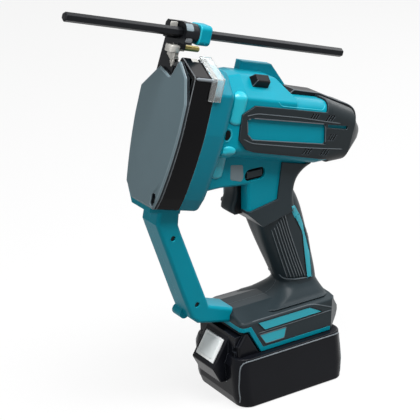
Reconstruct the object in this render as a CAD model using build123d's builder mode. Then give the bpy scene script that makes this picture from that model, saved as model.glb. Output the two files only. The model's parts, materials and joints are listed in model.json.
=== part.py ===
from math import atan, atan2, cos, degrees, hypot, pi, radians, sin, tan

from build123d import *

# Cordless threaded rod cutter, millimetres.
# Tool frame: X rearward, Y to the tool's right, Z up, origin under the middle of the battery.
# The motor line runs nose up over the battery plane, and the head, hook and gauge bar follow it.

# Driving sizes of the stance
body_pitch = 14.5
motor_height = 241.0

# Driving sizes of the head, along the motor line and square to it
plate_front = -192.0
plate_thick = 4.0
cover_depth = 23.0
gear_case_depth = 15.0
gear_case_taper = 9.0
gear_case_edge = 0.8
gear_case_inset = 5.0
head_wall = 4.0
head_half = 33.0
head_mid_half = 30.5
head_low_half = 24.5
side_start = -8.0
side_mid = -34.0
low_corner = -66.0
head_low = -77.0
low_lean = 4.0
far_shoulder = 15.0
near_shoulder = 38.0
cover_peak = (-9.0, 50.0)
notch_root = (-4.0, 31.0)
notch_far = (13.0, 36.0)
plate_near = (-25.5, 35.5)
plate_peak = (-12.0, 47.5)
gear_top = 43.0
gear_top_half = 14.0
gear_shoulder = 26.0
cover_round = 2.5
gear_round = 4.5
boss_wall = 3.0
seat_step = 1.0
plate_edge = 1.2
slot_centre = (-18.0, -69.0)
slot_length = 11.0
slot_width = 6.0

# Driving sizes of the cutting mechanism
hook_thick = 8.0
layer_gap = 0.4
arm_thick = 8.0
pivot = (18.0, 3.0)
pivot_radius = 4.0
arm_boss = 9.0
knee = (-9.0, -12.0)
knee_radius = 7.0
limb_end_radius = 5.5
die_lip = (-5.5, 43.6)
die_half = 5.5
die_length = 9.0
rod_notch = 4.2
die_gap = 9.0
fixed_die_half = 6.0
fixed_die_length = 8.0
die_screw = 1.7
die_screw_back = 6.75
die_back_radius = 6.0
hook_eye = 8.5
pin_length = 33.0
pin_chamfer = 0.5
rise_steps = 6
fall_steps = 6
arm_swing = 15.0
roller_radius = 5.0
roller_pin_radius = 2.0
roller_reach = 13.4
roller_angle = 160.0
cam_turn = 150.0
cam_clearance = 0.3
cam_thick = 5.6
running_fit = 0.05
slot_clearance = 0.7

# Driving sizes of the gears
spur_module = 1.5
pinion_teeth = 12
wheel_teeth = 30
planet_module = 1.0
sun_teeth = 12
planet_teeth = 15
pressure_angle = 25.0
tooth_backlash = 0.22
tip_height = 0.85
root_depth = 1.15
flank_start_lift = 0.05
gear_gap = 0.5
wheel_front = -162.0
wheel_width = 9.0
shaft_radius = 5.0
bearing_radius = 8.0
bearing_width = 6.0
ring_front = -124.0
ring_width = 14.0
carrier_thick = 5.0
carrier_rim = 2.0
planet_pin_radius = 2.0

# Driving sizes of the hook bracket and the gauge bar, which stands over the moving die's lip
post_near = -0.7
post_far_top = 19.0
post_far_low = 21.5
post_root = 8.0
post_slot_low = 16.0
post_slot_far = 3.0
gauge_rise = 23.9
gauge_across = 7.0
gauge_front = -298.5
gauge_length = 286.0
gauge_chamfer = 0.9
bracket_front = -197.0
bracket_drop = 8.5
bracket_rise = 8.0
bracket_near = -8.0
bracket_far = 10.0
bracket_bevel = (2.0, 3.0)
tray_gap = 0.6
wall_gap = 0.9
wall_root = 2.0
boss_radius = 8.5
boss_length = 8.0
bore_clearance = 0.36
sleeve_length = 6.0
sleeve_step = 0.4
collar_wall = 1.6
cap_length = 12.0
cap_width = 17.0
cap_round = 4.0
cap_roof = 3.0
cap_gap = 0.3
cap_edge = 2.0
stop_pin_back = 3.3
stop_pin_side = -1.0
stop_pin_radius = 2.5
stop_pin_length = 23.0
stop_pin_blind = 2.5

# Driving sizes of the clear guard
chip_thick = 1.6
chip_lap = 6.0
chip_length = 12.0
chip_leg = 20.0

# Driving sizes of the cover bolts
bolt_spots = [(-28.0, -8.0), (28.0, -8.0), (-17.0, -68.0), (14.0, -66.0)]
bolt_radius = 2.5
bolt_recess = 4.2
bolt_head = 3.9
bolt_head_height = 4.5
bolt_socket = 2.3
bolt_socket_depth = 2.5
bolt_tip_gap = 0.5
bolt_boss = 4.4

# Driving sizes of the motor
barrel_half = 30.0
barrel_rise = 28.0
barrel_round = 11.0
barrel_taper = -34.0
barrel_rear = -4.0
rear_half = 28.5
rear_rise = 21.5
tail_length = 17.0
tail_mid_half = 23.5
tail_mid_rise = 14.5
tail_half = 15.0
tail_rise = 7.5
tail_round = 6.0
bay_radius = 25.0
tail_bay_radius = 19.5
bay_rear = -6.0
bay_fit = 0.3
stator_front = -80.0
stator_length = 44.0
stator_bore = 12.6
coil_slots = 6
coil_slot_width = 6.0
coil_slot_depth = 6.2
coil_slot_orbit = 17.8
rotor_radius = 12.0
rotor_inset = 2.0
rotor_shaft = 2.5
shaft_passage = 1.5
fan_front = -28.0
fan_length = 9.0
fan_radius = 18.0
fan_disc = 1.5
fan_hub = 4.0
fan_blades = 9
fan_blade_thick = 1.4
fan_blade_turn = 18.0
fan_blade_inset = 0.5
motor_bearing_radius = 6.5
motor_bearing_width = 5.0
plate_seat = -104.0
bulkhead_thick = 8.0

# Driving sizes of the casing over the gears
casing_top = 41.0
casing_top_half = 12.0
casing_shoulder = 25.0
casing_rear = -74.0
casing_slope = 16.0
casing_round = 4.0
casing_wall = 3.0
casing_flare = 13.0
casing_flare_inset = 3.0
fence_front = -113.0
fence_rear = -79.5
fence_near = 8.0
fence_far = 17.0
fence_top = 48.5
fence_slope = 29.0
fence_round = 1.5
fence_root = 3.0

# Driving sizes of the foot, in the tool frame
skin = 1.8
foot_front = -58.0
foot_rear = 62.0
foot_half = 31.0
foot_top = 89.0
foot_top_half = 11.0
foot_edge = 81.5
foot_front_low = 74.0
foot_low = 50.6
foot_nose = (4.0, 4.0)
wing_front = -36.0
wing_step = 14.0
foot_back = [(58.5, 56.0), (62.0, 60.0), (61.0, 65.0), (48.5, 78.5), (46.0, 84.5), (41.0, foot_top)]
foot_round = 5.0
foot_edge_round = 3.0
foot_tail = 43.0
foot_tail_half = 16.0
trim_height = 4.0
trim_rear = 42.0

# Driving sizes of the neck and handle, which hang from the motor's height and stand on the foot
neck_half = 19.5
neck_round = 6.0
neck_edge_round = 3.0
neck_front_low = (-75.0, motor_height - 31.0)
neck_trigger = (-47.0, motor_height - 34.0)
neck_throat = (-46.0, motor_height - 60.0)
neck_lift = 16.5
throat_drop = 10.5
neck_back = [
    (4.0, motor_height - 66.0),
    (2.0, motor_height - 48.0),
    (5.5, motor_height - 37.0),
    (13.5, motor_height - 30.0),
    (26.0, motor_height - 26.0),
]
handle_top = (-8.0, motor_height - 65.0)
handle_bottom = (24.0, foot_top + 3.0)
handle_depth = 42.0
handle_width = 30.0
handle_round = 12.0
handle_wall = 2.5

# Handle sections: share of its length, slimming of its depth and of its width, shift to the rear
handle_sections = [
    (-0.12, 3.0, -7.0, -1.5),
    (0.25, -1.0, -1.2, 0.5),
    (0.55, 2.0, 1.5, 1.0),
    (0.8, 6.0, 1.5, 1.2),
    (1.08, 10.0, 1.5, -1.0),
]

# Bell where the handle runs out into the foot: height over the foot's top, front, rear, half width
bell_sections = [
    (13.0, 1.0, 39.0, 15.6),
    (7.5, 0.5, 40.8, 16.6),
    (3.0, -4.5, 42.4, 19.5),
    (-1.0, -14.0, 44.2, 22.5),
    (-4.5, -28.0, 46.0, 27.0),
]
bell_round = 12.0

# Driving sizes of the soft covers, inlays and bumper
grip_region = [
    (-10.0, motor_height - 1.0),
    (-13.0, motor_height - 26.0),
    (-16.0, motor_height - 53.0),
    (-46.0, motor_height - 58.5),
    (-60.0, motor_height - 91.0),
    (0.0, foot_top + 31.0),
    (60.0, foot_top + 31.0),
    (90.0, motor_height - 26.0),
    (70.0, motor_height + 4.0),
]
inlay_outline = [
    (6.0, motor_height - 75.0),
    (12.0, motor_height - 73.0),
    (27.5, motor_height - 101.0),
    (31.0, foot_top + 12.0),
    (24.5, foot_top + 12.0),
    (16.5, motor_height - 93.0),
]
inlay_depth = 0.9
inlay_proud = 0.3
foot_inlay_outline = [(-41.0, 80.2), (-33.0, 71.2), (32.5, 72.0), (17.0, 80.2)]
badge_outline = [(-38.5, 67.5), (-31.5, 57.5), (-11.0, 57.5), (-9.0, 67.5)]
frame_outer = [
    (-131.0, 11.0),
    (-119.0, 19.5),
    (-40.0, 19.6),
    (-36.0, 36.0),
    (40.0, 36.0),
    (40.0, -36.0),
    (-12.0, -36.0),
    (-23.0, -22.0),
    (-110.6, -20.0),
    (-118.5, -18.4),
    (-128.3, -10.3),
]
frame_window = [(-125.0, 7.0), (-120.0, 9.0), (-39.0, 9.6), (-34.0, -8.0), (-115.0, -9.5), (-121.0, -5.0)]
frame_stripe = [(-36.0, 6.5), (-36.0, 9.5), (-12.0, 9.5), (-12.0, 6.5)]
vent_spots = [(-53.3, 15.0), (-35.2, 15.0), (-28.0, -1.5), (-52.5, -15.5), (-32.1, -15.0)]
vent_pitch = 3.0
vent_length = 6.5
vent_width = 1.6
vent_slant = -25.0
bumper_strap = [(-36.0, 22.0), (-68.0, 28.0), (-63.0, 32.4), (-34.0, 31.8), (-8.0, 26.4)]
bumper_hoop = [(3.0, 24.4), (11.5, 20.0), (17.0, 9.0), (19.0, -3.0), (17.2, -11.5), (13.0, -15.0)]
bumper_inside = [
    (8.0, -11.0),
    (12.5, -9.0),
    (13.8, -3.0),
    (14.2, 5.0),
    (11.8, 12.5),
    (7.5, 17.2),
    (1.5, 20.3),
    (-6.0, 21.5),
]
bumper_half = 9.0
screw_spots = [
    (-62.0, motor_height - 23.0, neck_half),
    (0.0, motor_height - 83.0, 15.0),
    (20.0, foot_top + 23.0, 14.5),
    (-48.0, foot_top - 10.0, foot_half - skin),
]
screw_radius = 1.6
screw_head = 3.2
screw_clearance = 0.2
screw_head_height = 2.4
screw_sink = 4.0
screw_reach = 6.0
screw_boss = 3.6

# Driving sizes of the parts inside the foot and on the battery's deck
board_length = 52.0
board_width = 40.0
board_height = 7.0
board_low = 75.0
board_rim = 3.0
notch_front = 14.0
notch_half = 17.0
notch_low = 62.0
terminal_front = 22.0
terminal_rear = 40.0
terminal_half = 15.0
blade_reach = 11.0
blade_root = 4.0
blade_half = 8.0
blade_thick = 1.0
blade_height = 4.0
blade_slot = 1.6
blade_end_gap = 1.0
contact_thick = 0.6
blade_contact = 3.0
case_outline_front = [(-4.0, 10.0), (-8.0, 42.0), (-5.5, 50.0)]
case_outline_rear = [(-4.5, 50.0), (0.0, 20.0)]
shoulder_outline = [(-60.0, 50.0), (-60.5, 60.0), (-53.0, 71.5), (-50.5, 71.5), (-37.2, 50.0)]
shoulder_half = 30.5
shoulder_round = 2.0
nose_outline = [(-55.0, 22.0), (-69.0, 22.0), (-78.0, 38.0), (-62.0, 66.0), (-55.0, 66.0)]
nose_half = 16.5
nose_round = 2.0
button_proud = 0.8
button_margin = 0.14
button_end_gap = 1.0

# Driving sizes of the battery
battery_length = 115.0
battery_half = 37.0
battery_height = 50.0
battery_round = 11.0
battery_front_round = 12.0
battery_edge = 2.0
battery_top_edge = 1.5
deck_half = 26.5
deck_top = 69.0
deck_rear = 47.0
deck_front = -62.0
slide_clearance = 0.4
rail_depth = 3.0
rail_height = 4.0
rail_low = 55.0
case_wall = 3.0
cell_radius = 9.1
cell_length = 65.0
cell_pitch = 18.6
cell_rows = 2
cell_columns = 5
cell_gap = 0.2
cell_shift = -2.0
button_half = 13.0
button_thick = 5.0
button_travel = 4.0

# Driving sizes of the hand guard
guard_half = 12.5
guard_round = 3.0
guard_top_front = -178.0
guard_top_rear = -157.0
guard_flange = 5.0
guard_flange_front = -188.0
guard_outer = [
    (-134.5, motor_height - 54.0),
    (-132.0, motor_height - 61.0),
    (-106.0, foot_top + 22.0),
    (-98.0, foot_top + 2.0),
    (-91.0, foot_top - 4.0),
]
guard_inner = [
    (-80.0, foot_top + 10.5),
    (-84.0, foot_top + 21.0),
    (-110.0, motor_height - 65.5),
    (-112.5, motor_height - 58.0),
]
guard_end_low = 76.5
guard_end_high = 90.5
guard_lug = (-97.5, foot_top + 3.0)
guard_lug_radius = 5.0
guard_screw_spots = [(-118.5, motor_height - 69.0), (-93.0, foot_top + 15.0)]
guard_screw_radius = 1.6
guard_screw_head = 2.2
guard_screw_recess = 2.5
guard_sink = 2.4
guard_screw_length = 15.0

# Driving sizes of the controls
trigger_front = -56.5
trigger_rear = -41.0
trigger_low = motor_height - 63.5
trigger_high = motor_height - 35.0
trigger_half = 8.5
trigger_travel = 6.0
trigger_toe = 4.0
trigger_lean = 3.0
trigger_dish = 2.2
trigger_round = 3.0
stem_entry = 4.0
stem_lift = 1.0
trigger_gap = 0.5
stem_half = 4.0
switch_front = -28.0
switch_rear = -3.0
switch_low = motor_height - 61.0
switch_high = motor_height - 35.0
switch_half = 10.0
lever_spot = (-40.0, motor_height - 25.0)
lever_half_length = 8.0
lever_half_height = 3.0
lever_sink = 0.6
lever_travel = 3.0
lever_eye = (3.0, 2.5)
knob_front = -119.0
knob_length = 17.0
knob_width = 10.0
knob_height = 7.0
knob_round = 1.0
knob_travel = 6.0
knob_stem_length = 8.0
knob_stem_width = 4.0
knob_stem_depth = 3.0
knob_taper = 12.0
knob_share = 0.28

# Reach of a cut past the face that it opens
spare = 5.0

# Derived places
pitch = radians(body_pitch)
along = Vector(cos(pitch), 0, -sin(pitch))
up = Vector(sin(pitch), 0, cos(pitch))
cover_front = plate_front + plate_thick
gear_front = cover_front + cover_depth
taper_front = gear_front + gear_case_depth
casing_front = taper_front + gear_case_taper
arm_front = cover_front + hook_thick + layer_gap
cam_front = arm_front + arm_thick + layer_gap
pinion_pitch = spur_module * pinion_teeth / 2
wheel_pitch = spur_module * wheel_teeth / 2
cam_centre = (0, -pinion_pitch - wheel_pitch)
ring_teeth = sun_teeth + 2 * planet_teeth
planet_orbit = planet_module * (sun_teeth + planet_teeth) / 2
gauge_height = die_lip[1] + gauge_rise
gauge_bore = gauge_across / 3**0.5 + bore_clearance
bracket_rear = cover_front + hook_thick
bracket_floor = gauge_height - bracket_drop
bracket_top = gauge_height + bracket_rise
tray_top = gauge_height - gauge_across / 2 - tray_gap
wall_near = gauge_across / 2 + wall_gap
post_middle = (post_near + post_far_low) / 2
post_half = (post_far_low - post_near) / 2
stator_rear = stator_front + stator_length
battery_front = -battery_length / 2
battery_rear = battery_length / 2


def across(at):
    """Plane square to the motor line: x to the right, y up, origin on the line."""
    return Plane(origin=along * at + up * motor_height, x_dir=(0, 1, 0), z_dir=along)


def beside(at=0):
    """Plane along the motor line: x rearward, y up, origin on the line, facing left."""
    return Plane(origin=up * motor_height + Vector(0, -at, 0), x_dir=along, z_dir=(0, -1, 0))


def from_line(distance, height):
    """Tool-frame (X, Z) of a point given along the motor line and above it."""
    spot = along * distance + up * (motor_height + height)
    return (spot.X, spot.Z)


def turned(point, centre, angle):
    """A point of a cross plane turned about a centre, anticlockwise in degrees."""
    dx = point[0] - centre[0]
    dy = point[1] - centre[1]
    c = cos(radians(angle))
    s = sin(radians(angle))
    return (centre[0] + dx * c - dy * s, centre[1] + dx * s + dy * c)


def shifted(point, direction, distance):
    """A point moved along a unit direction of its plane."""
    return (point[0] + direction[0] * distance, point[1] + direction[1] * distance)


motor_axis = Axis(origin=(0, 0, 0), direction=along)

# The moving die travels square to its radius from the pivot
die_arm = (die_lip[0] - pivot[0], die_lip[1] - pivot[1])
die_reach = hypot(*die_arm)
bite = (die_arm[1] / die_reach, -die_arm[0] / die_reach)
die_seat = shifted(die_lip, bite, -die_length / 2)
die_back = shifted(die_lip, bite, -die_length)
die_side = (-bite[1], bite[0])
fixed_lip = shifted(die_lip, bite, die_gap)
die_screw_spot = shifted(die_lip, bite, -die_screw_back)
stop_pin = shifted(
    shifted(fixed_lip, bite, fixed_die_length + stop_pin_back), die_side, stop_pin_side
)
roller_rest = shifted(
    cam_centre, (cos(radians(roller_angle)), sin(radians(roller_angle))), roller_reach
)


# Outlines


def head_sides(near_points):
    """Closed head outline: the given points run over the top from the near to the far side."""
    with BuildLine() as outline:
        FilletPolyline(
            (-head_half, side_start), *near_points, (head_half, side_start), radius=cover_round
        )
        ThreePointArc(
            (head_half, side_start), (head_mid_half, side_mid), (head_low_half, low_corner)
        )
        FilletPolyline(
            (head_low_half, low_corner),
            (head_low_half / 2, head_low),
            (-head_low_half + low_lean, head_low),
            (-head_low_half, low_corner),
            radius=cover_round,
        )
        ThreePointArc(
            (-head_low_half, low_corner), (-head_mid_half, side_mid), (-head_half, side_start)
        )
    make_face(outline.edges())


def cover_outline():
    top = [(-head_half, near_shoulder), cover_peak, notch_root, notch_far, (head_half, far_shoulder)]
    head_sides(top)


def plate_outline():
    top = [(-head_half, far_shoulder), plate_near, plate_peak, notch_root, notch_far]
    head_sides(top + [(head_half, far_shoulder)])


def gear_outline(inset):
    """Gear case outline, drawn in evenly by the inset."""
    half = head_half - inset
    mid = head_mid_half - inset
    low_half = head_low_half - inset
    low = head_low + inset
    with BuildLine() as outline:
        FilletPolyline(
            (-half, side_start),
            (-half, gear_shoulder - inset / 2),
            (-gear_top_half, gear_top - inset),
            (gear_top_half, gear_top - inset),
            (half, gear_shoulder - inset / 2),
            (half, side_start),
            radius=gear_round,
        )
        ThreePointArc((half, side_start), (mid, side_mid), (low_half, low_corner))
        FilletPolyline(
            (low_half, low_corner),
            (low_half / 2, low),
            (-low_half + low_lean, low),
            (-low_half, low_corner),
            radius=cover_round,
        )
        ThreePointArc((-low_half, low_corner), (-mid, side_mid), (-half, side_start))
    make_face(outline.edges())


def gear_points(teeth, module, tip, root, thin, phase=0.0):
    """Corner points of a spur gear, with involute flanks of two spans on each side of a tooth."""
    pitch_radius = module * teeth / 2
    base = pitch_radius * cos(radians(pressure_angle))
    flank_start = max(base, pitch_radius - root + flank_start_lift)
    half_tooth = (pi * module / 2 - thin) / 2 / pitch_radius
    lead = tan(radians(pressure_angle)) - radians(pressure_angle)
    flank = []
    for step in range(3):
        radius = flank_start + (pitch_radius + tip - flank_start) * step / 2
        slope = max((radius / base) ** 2 - 1, 0) ** 0.5
        flank.append((radius, half_tooth + lead - slope + atan(slope)))
    flank.insert(0, (pitch_radius - root, flank[0][1]))
    points = []
    for tooth in range(teeth):
        middle = 2 * pi * tooth / teeth + radians(phase)
        for radius, angle in flank:
            points.append((radius * cos(middle - angle), radius * sin(middle - angle)))
        for radius, angle in reversed(flank):
            points.append((radius * cos(middle + angle), radius * sin(middle + angle)))
    return points


def gear_face(teeth, module, phase=0.0):
    """Toothed face with stub teeth and a little backlash."""
    tip = tip_height * module
    root = root_depth * module
    Polygon(*gear_points(teeth, module, tip, root, tooth_backlash, phase), align=None)


def die_block(lip, half, length):
    """Face of a die: its lip is square to the bite, and it runs on along it by the length."""
    first = shifted(lip, die_side, half)
    second = shifted(lip, die_side, -half)
    Polygon(first, second, shifted(second, bite, length), shifted(first, bite, length), align=None)


def barrel_form(grow):
    """Motor barrel, drawn in to the rear and closed by a rounded tail, grown evenly by a skin."""
    full = (2 * (barrel_half + grow), 2 * (barrel_rise + grow), barrel_round + grow)
    rear = (2 * (rear_half + grow), 2 * (rear_rise + grow), barrel_round + grow)
    middle = (2 * (tail_mid_half + grow), 2 * (tail_mid_rise + grow), barrel_round + grow)
    end = (2 * (tail_half + grow), 2 * (tail_rise + grow), tail_round + grow)
    with BuildPart() as form:
        with BuildSketch(across(casing_front)):
            RectangleRounded(*full)
        extrude(amount=barrel_taper - casing_front)
        with BuildSketch(across(barrel_taper)):
            RectangleRounded(*full)
        with BuildSketch(across(barrel_rear)):
            RectangleRounded(*rear)
        loft()
        with BuildSketch(across(barrel_rear)):
            RectangleRounded(*rear)
        with BuildSketch(across(barrel_rear + tail_length / 2)):
            RectangleRounded(*middle)
        with BuildSketch(across(barrel_rear + tail_length + grow)):
            RectangleRounded(*end)
        loft()
    return form.part


def neck_outline(grow):
    """Side outline of the neck, from the gear case back to the handle and under the barrel."""
    front_top = from_line(casing_front, 0)
    front_low = from_line(casing_front, head_low + neck_lift)
    throat_foot = (handle_top[0] - handle_depth / 2 - grow, handle_top[1] - throat_drop)
    back = []
    for step, spot in enumerate(neck_back):
        turn = pi / 2 * step / (len(neck_back) - 1)
        back.append((spot[0] + grow * cos(turn), spot[1] - grow * sin(turn)))
    rear_top = (back[-1][0], back[-1][1] + barrel_rise)
    with BuildLine() as outline:
        Polyline(
            front_top,
            front_low,
            neck_front_low,
            neck_trigger,
            (neck_throat[0] - grow, neck_throat[1]),
            throat_foot,
            back[0],
        )
        Spline(*back)
        Polyline(back[-1], rear_top, front_top)
    make_face(outline.edges())


def neck_form(grow):
    """Neck grown evenly by a skin, with softened edges round its back and under its front."""
    front_low = from_line(casing_front, head_low + neck_lift)
    with BuildPart() as form:
        with BuildSketch(Plane.XZ):
            neck_outline(grow)
        extrude(amount=neck_half + grow, both=True)
        curved = [edge for edge in form.edges() if edge.geom_type != GeomType.LINE]
        fillet(curved, neck_round)
        flanks = form.faces().filter_by(Axis.Y).edges().filter_by(GeomType.LINE)
        under = [edge for edge in flanks if edge.center().Z < front_low[1]]
        fillet([edge for edge in under if edge.center().X < neck_throat[0]], neck_edge_round)
    return form.part


handle_run = Vector(handle_bottom[0] - handle_top[0], 0, handle_bottom[1] - handle_top[1])
handle_down = handle_run.normalized()
handle_back = Vector(-handle_down.Z, 0, handle_down.X)


def handle_plane(share):
    """Plane square to the handle at a share of its length: x rearward, y to the left."""
    spot = Vector(handle_top[0], 0, handle_top[1]) + handle_run * share
    return Plane(origin=spot, x_dir=handle_back, z_dir=handle_down)


def handle_form(grow):
    """Handle between neck and foot, flared at its top and slimmer towards the foot."""
    with BuildPart() as form:
        for share, slim, slim_across, shift in handle_sections:
            with BuildSketch(handle_plane(share)):
                with Locations((shift, 0)):
                    RectangleRounded(
                        handle_depth + 2 * grow - slim,
                        handle_width + 2 * grow - slim_across,
                        handle_round + grow,
                    )
        loft()
    return form.part


def bell_form(grow):
    """Bell of the handle over the foot, grown evenly."""
    with BuildPart() as form:
        for height, front, rear, half in bell_sections:
            with BuildSketch(Plane.XY.offset(foot_top + height)):
                with Locations(((front + rear) / 2, 0)):
                    RectangleRounded(rear - front + 2 * grow, 2 * (half + grow), bell_round + grow)
        loft()
    return form.part


def foot_outline():
    """Side outline of the foot: a flat top, a sloping back and wings over the battery rails."""
    with BuildLine() as outline:
        Polyline(
            (foot_front, foot_front_low),
            (wing_front - wing_step, foot_front_low),
            (wing_front, foot_low),
            (trim_rear, foot_low),
            *foot_back,
            (foot_front + foot_nose[0], foot_top),
            (foot_front, foot_top - foot_nose[1]),
            close=True,
        )
    make_face(outline.edges())


def foot_form(draw_in):
    """Foot block with a roofed top, drawn in evenly by the skin under it."""
    with BuildPart() as form:
        with BuildSketch(Plane.XZ):
            foot_outline()
            if draw_in > 0:
                offset(amount=-draw_in)
        extrude(amount=foot_half - draw_in, both=True)
        corners = form.edges().filter_by(Axis.Z).sort_by(Axis.X)
        fillet(corners[:2], foot_round - draw_in)
        with BuildSketch(Plane.YZ.offset(foot_front - spare)):
            for side in (-1, 1):
                Polygon(
                    (side * foot_top_half, foot_top + spare),
                    (side * foot_top_half, foot_top - draw_in),
                    (side * (foot_half - draw_in), foot_edge - draw_in),
                    (side * (foot_half + spare), foot_edge - draw_in),
                    (side * (foot_half + spare), foot_top + spare),
                    align=None,
                )
        extrude(amount=foot_rear - foot_front + 2 * spare, mode=Mode.SUBTRACT)
        with BuildSketch(Plane.XY.offset(foot_low - spare)):
            for side in (-1, 1):
                Polygon(
                    (foot_tail, side * (foot_half - draw_in)),
                    (foot_rear - draw_in, side * (foot_tail_half - draw_in)),
                    (foot_rear + spare, side * (foot_tail_half - draw_in)),
                    (foot_rear + spare, side * (foot_half + spare)),
                    (foot_tail, side * (foot_half + spare)),
                    align=None,
                )
        extrude(amount=foot_top - foot_low + 2 * spare, mode=Mode.SUBTRACT)
        roof_edges = form.edges().filter_by(Axis.X).sort_by(Axis.Z)[-4:]
        fillet(roof_edges, foot_edge_round - draw_in)
    return form.part


# Head: front plate with the front bearing boss on its back
with BuildPart() as front_plate:
    with BuildSketch(across(plate_front)):
        plate_outline()
    extrude(amount=plate_thick)
    chamfer(front_plate.faces().sort_by(motor_axis)[0].edges(), plate_edge)
    with BuildSketch(across(cover_front)):
        with Locations(cam_centre):
            Circle(bearing_radius + boss_wall)
    extrude(amount=bearing_width + seat_step)
    with BuildSketch(across(cover_front + seat_step)):
        with Locations(cam_centre):
            Circle(bearing_radius)
    extrude(amount=bearing_width, mode=Mode.SUBTRACT)
    with BuildSketch(across(plate_front)):
        with Locations(Location((*slot_centre, 0), (0, 0, 90))):
            SlotOverall(slot_length, slot_width)
    extrude(amount=plate_thick, mode=Mode.SUBTRACT)
    with BuildSketch(across(cover_front)):
        with Locations(*bolt_spots[:2], bolt_spots[3]):
            Circle(bolt_radius)
    extrude(amount=-plate_thick / 2, mode=Mode.SUBTRACT)
front_plate.part.label = "front_plate"
export_step(front_plate.part, "parts/front_plate.step")

# Head: black cover, an open ring of wall with a slotted block beside the mouth
with BuildPart() as front_cover:
    with BuildSketch(across(cover_front)):
        cover_outline()
    extrude(amount=cover_depth)
    with BuildSketch(across(cover_front)):
        cover_outline()
        offset(amount=-head_wall)
    extrude(amount=cover_depth, mode=Mode.SUBTRACT)
    with BuildSketch(across(cover_front)):
        with Locations(*bolt_spots):
            Circle(bolt_boss)
    extrude(amount=cover_depth)
    with BuildSketch(across(cover_front)):
        with Locations(*bolt_spots):
            Circle(bolt_radius)
    extrude(amount=cover_depth, mode=Mode.SUBTRACT)
    with BuildSketch(across(cover_front)):
        Polygon(
            (post_near - slot_clearance, post_slot_low),
            (post_far_low + post_slot_far, post_slot_low),
            (post_far_low + post_slot_far, notch_far[1] + spare),
            (post_near - slot_clearance, notch_far[1] + spare),
            align=None,
        )
    extrude(amount=hook_thick, mode=Mode.SUBTRACT)
    for swing in (0, arm_swing / 2, arm_swing):
        with BuildSketch(across(cover_front + hook_thick)):
            with Locations(pivot):
                Circle(arm_boss + slot_clearance)
            with Locations(turned(die_seat, pivot, -swing)):
                Circle(hypot(die_half, die_length / 2) + slot_clearance)
            with Locations(turned(die_back, pivot, -swing)):
                Circle(die_back_radius + slot_clearance)
            make_hull()
        extrude(amount=arm_thick + 2 * layer_gap, mode=Mode.SUBTRACT)
front_cover.part.label = "front_cover"
export_step(front_cover.part, "parts/front_cover.step")

# Head: gear case behind the cover, with seats for the two rear bearings
with BuildPart() as gear_housing:
    with BuildSketch(across(gear_front)):
        gear_outline(0)
    extrude(amount=gear_case_depth)
    with BuildSketch(across(taper_front)):
        gear_outline(0)
    with BuildSketch(across((taper_front + casing_front) / 2)):
        gear_outline(gear_case_edge)
    with BuildSketch(across(casing_front)):
        gear_outline(gear_case_inset)
    loft()
    with BuildSketch(across(gear_front)):
        gear_outline(head_wall)
    extrude(amount=gear_case_depth - seat_step, mode=Mode.SUBTRACT)
    with BuildSketch(across(gear_front)):
        with Locations(*bolt_spots):
            Circle(bolt_boss)
    extrude(amount=gear_case_depth)
    with BuildSketch(across(cam_front + layer_gap)):
        with Locations(pivot):
            Circle(pivot_radius + boss_wall)
            Circle(pivot_radius, mode=Mode.SUBTRACT)
    extrude(amount=taper_front - seat_step - cam_front - layer_gap)
    with BuildSketch(across(gear_front)):
        with Locations(*bolt_spots):
            Circle(bolt_radius)
    extrude(amount=gear_case_depth, mode=Mode.SUBTRACT)
    with BuildSketch(across(taper_front)):
        with Locations(*bolt_spots):
            Circle(bolt_recess)
    extrude(amount=gear_case_taper, mode=Mode.SUBTRACT)
    with BuildSketch(across(taper_front - seat_step)):
        with Locations((0, 0), cam_centre):
            Circle(bearing_radius)
    extrude(amount=bearing_width + seat_step, mode=Mode.SUBTRACT)
    with BuildSketch(across(taper_front)):
        Circle(shaft_radius + seat_step)
    extrude(amount=gear_case_taper, mode=Mode.SUBTRACT)
gear_housing.part.label = "gear_housing"
export_step(gear_housing.part, "parts/gear_housing.step")

# Head: bolts from the rear of the gear case into the cover and plate
plate_thread = cover_front - plate_thick / 2 + bolt_tip_gap
cover_thread = cover_front + plate_thick / 2
bolt_tips = [plate_thread, plate_thread, cover_thread, plate_thread]
with BuildPart() as cover_bolts:
    for spot, tip_end in zip(bolt_spots, bolt_tips):
        with BuildSketch(across(tip_end)):
            with Locations(spot):
                Circle(bolt_radius)
        extrude(amount=taper_front - tip_end)
        with BuildSketch(across(taper_front)):
            with Locations(spot):
                Circle(bolt_head)
        extrude(amount=bolt_head_height)
        with BuildSketch(across(taper_front + bolt_head_height)):
            with Locations(spot):
                RegularPolygon(bolt_socket, 6)
        extrude(amount=-bolt_socket_depth, mode=Mode.SUBTRACT)
cover_bolts.part.label = "cover_bolts"
export_step(cover_bolts.part, "parts/cover_bolts.step")

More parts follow.
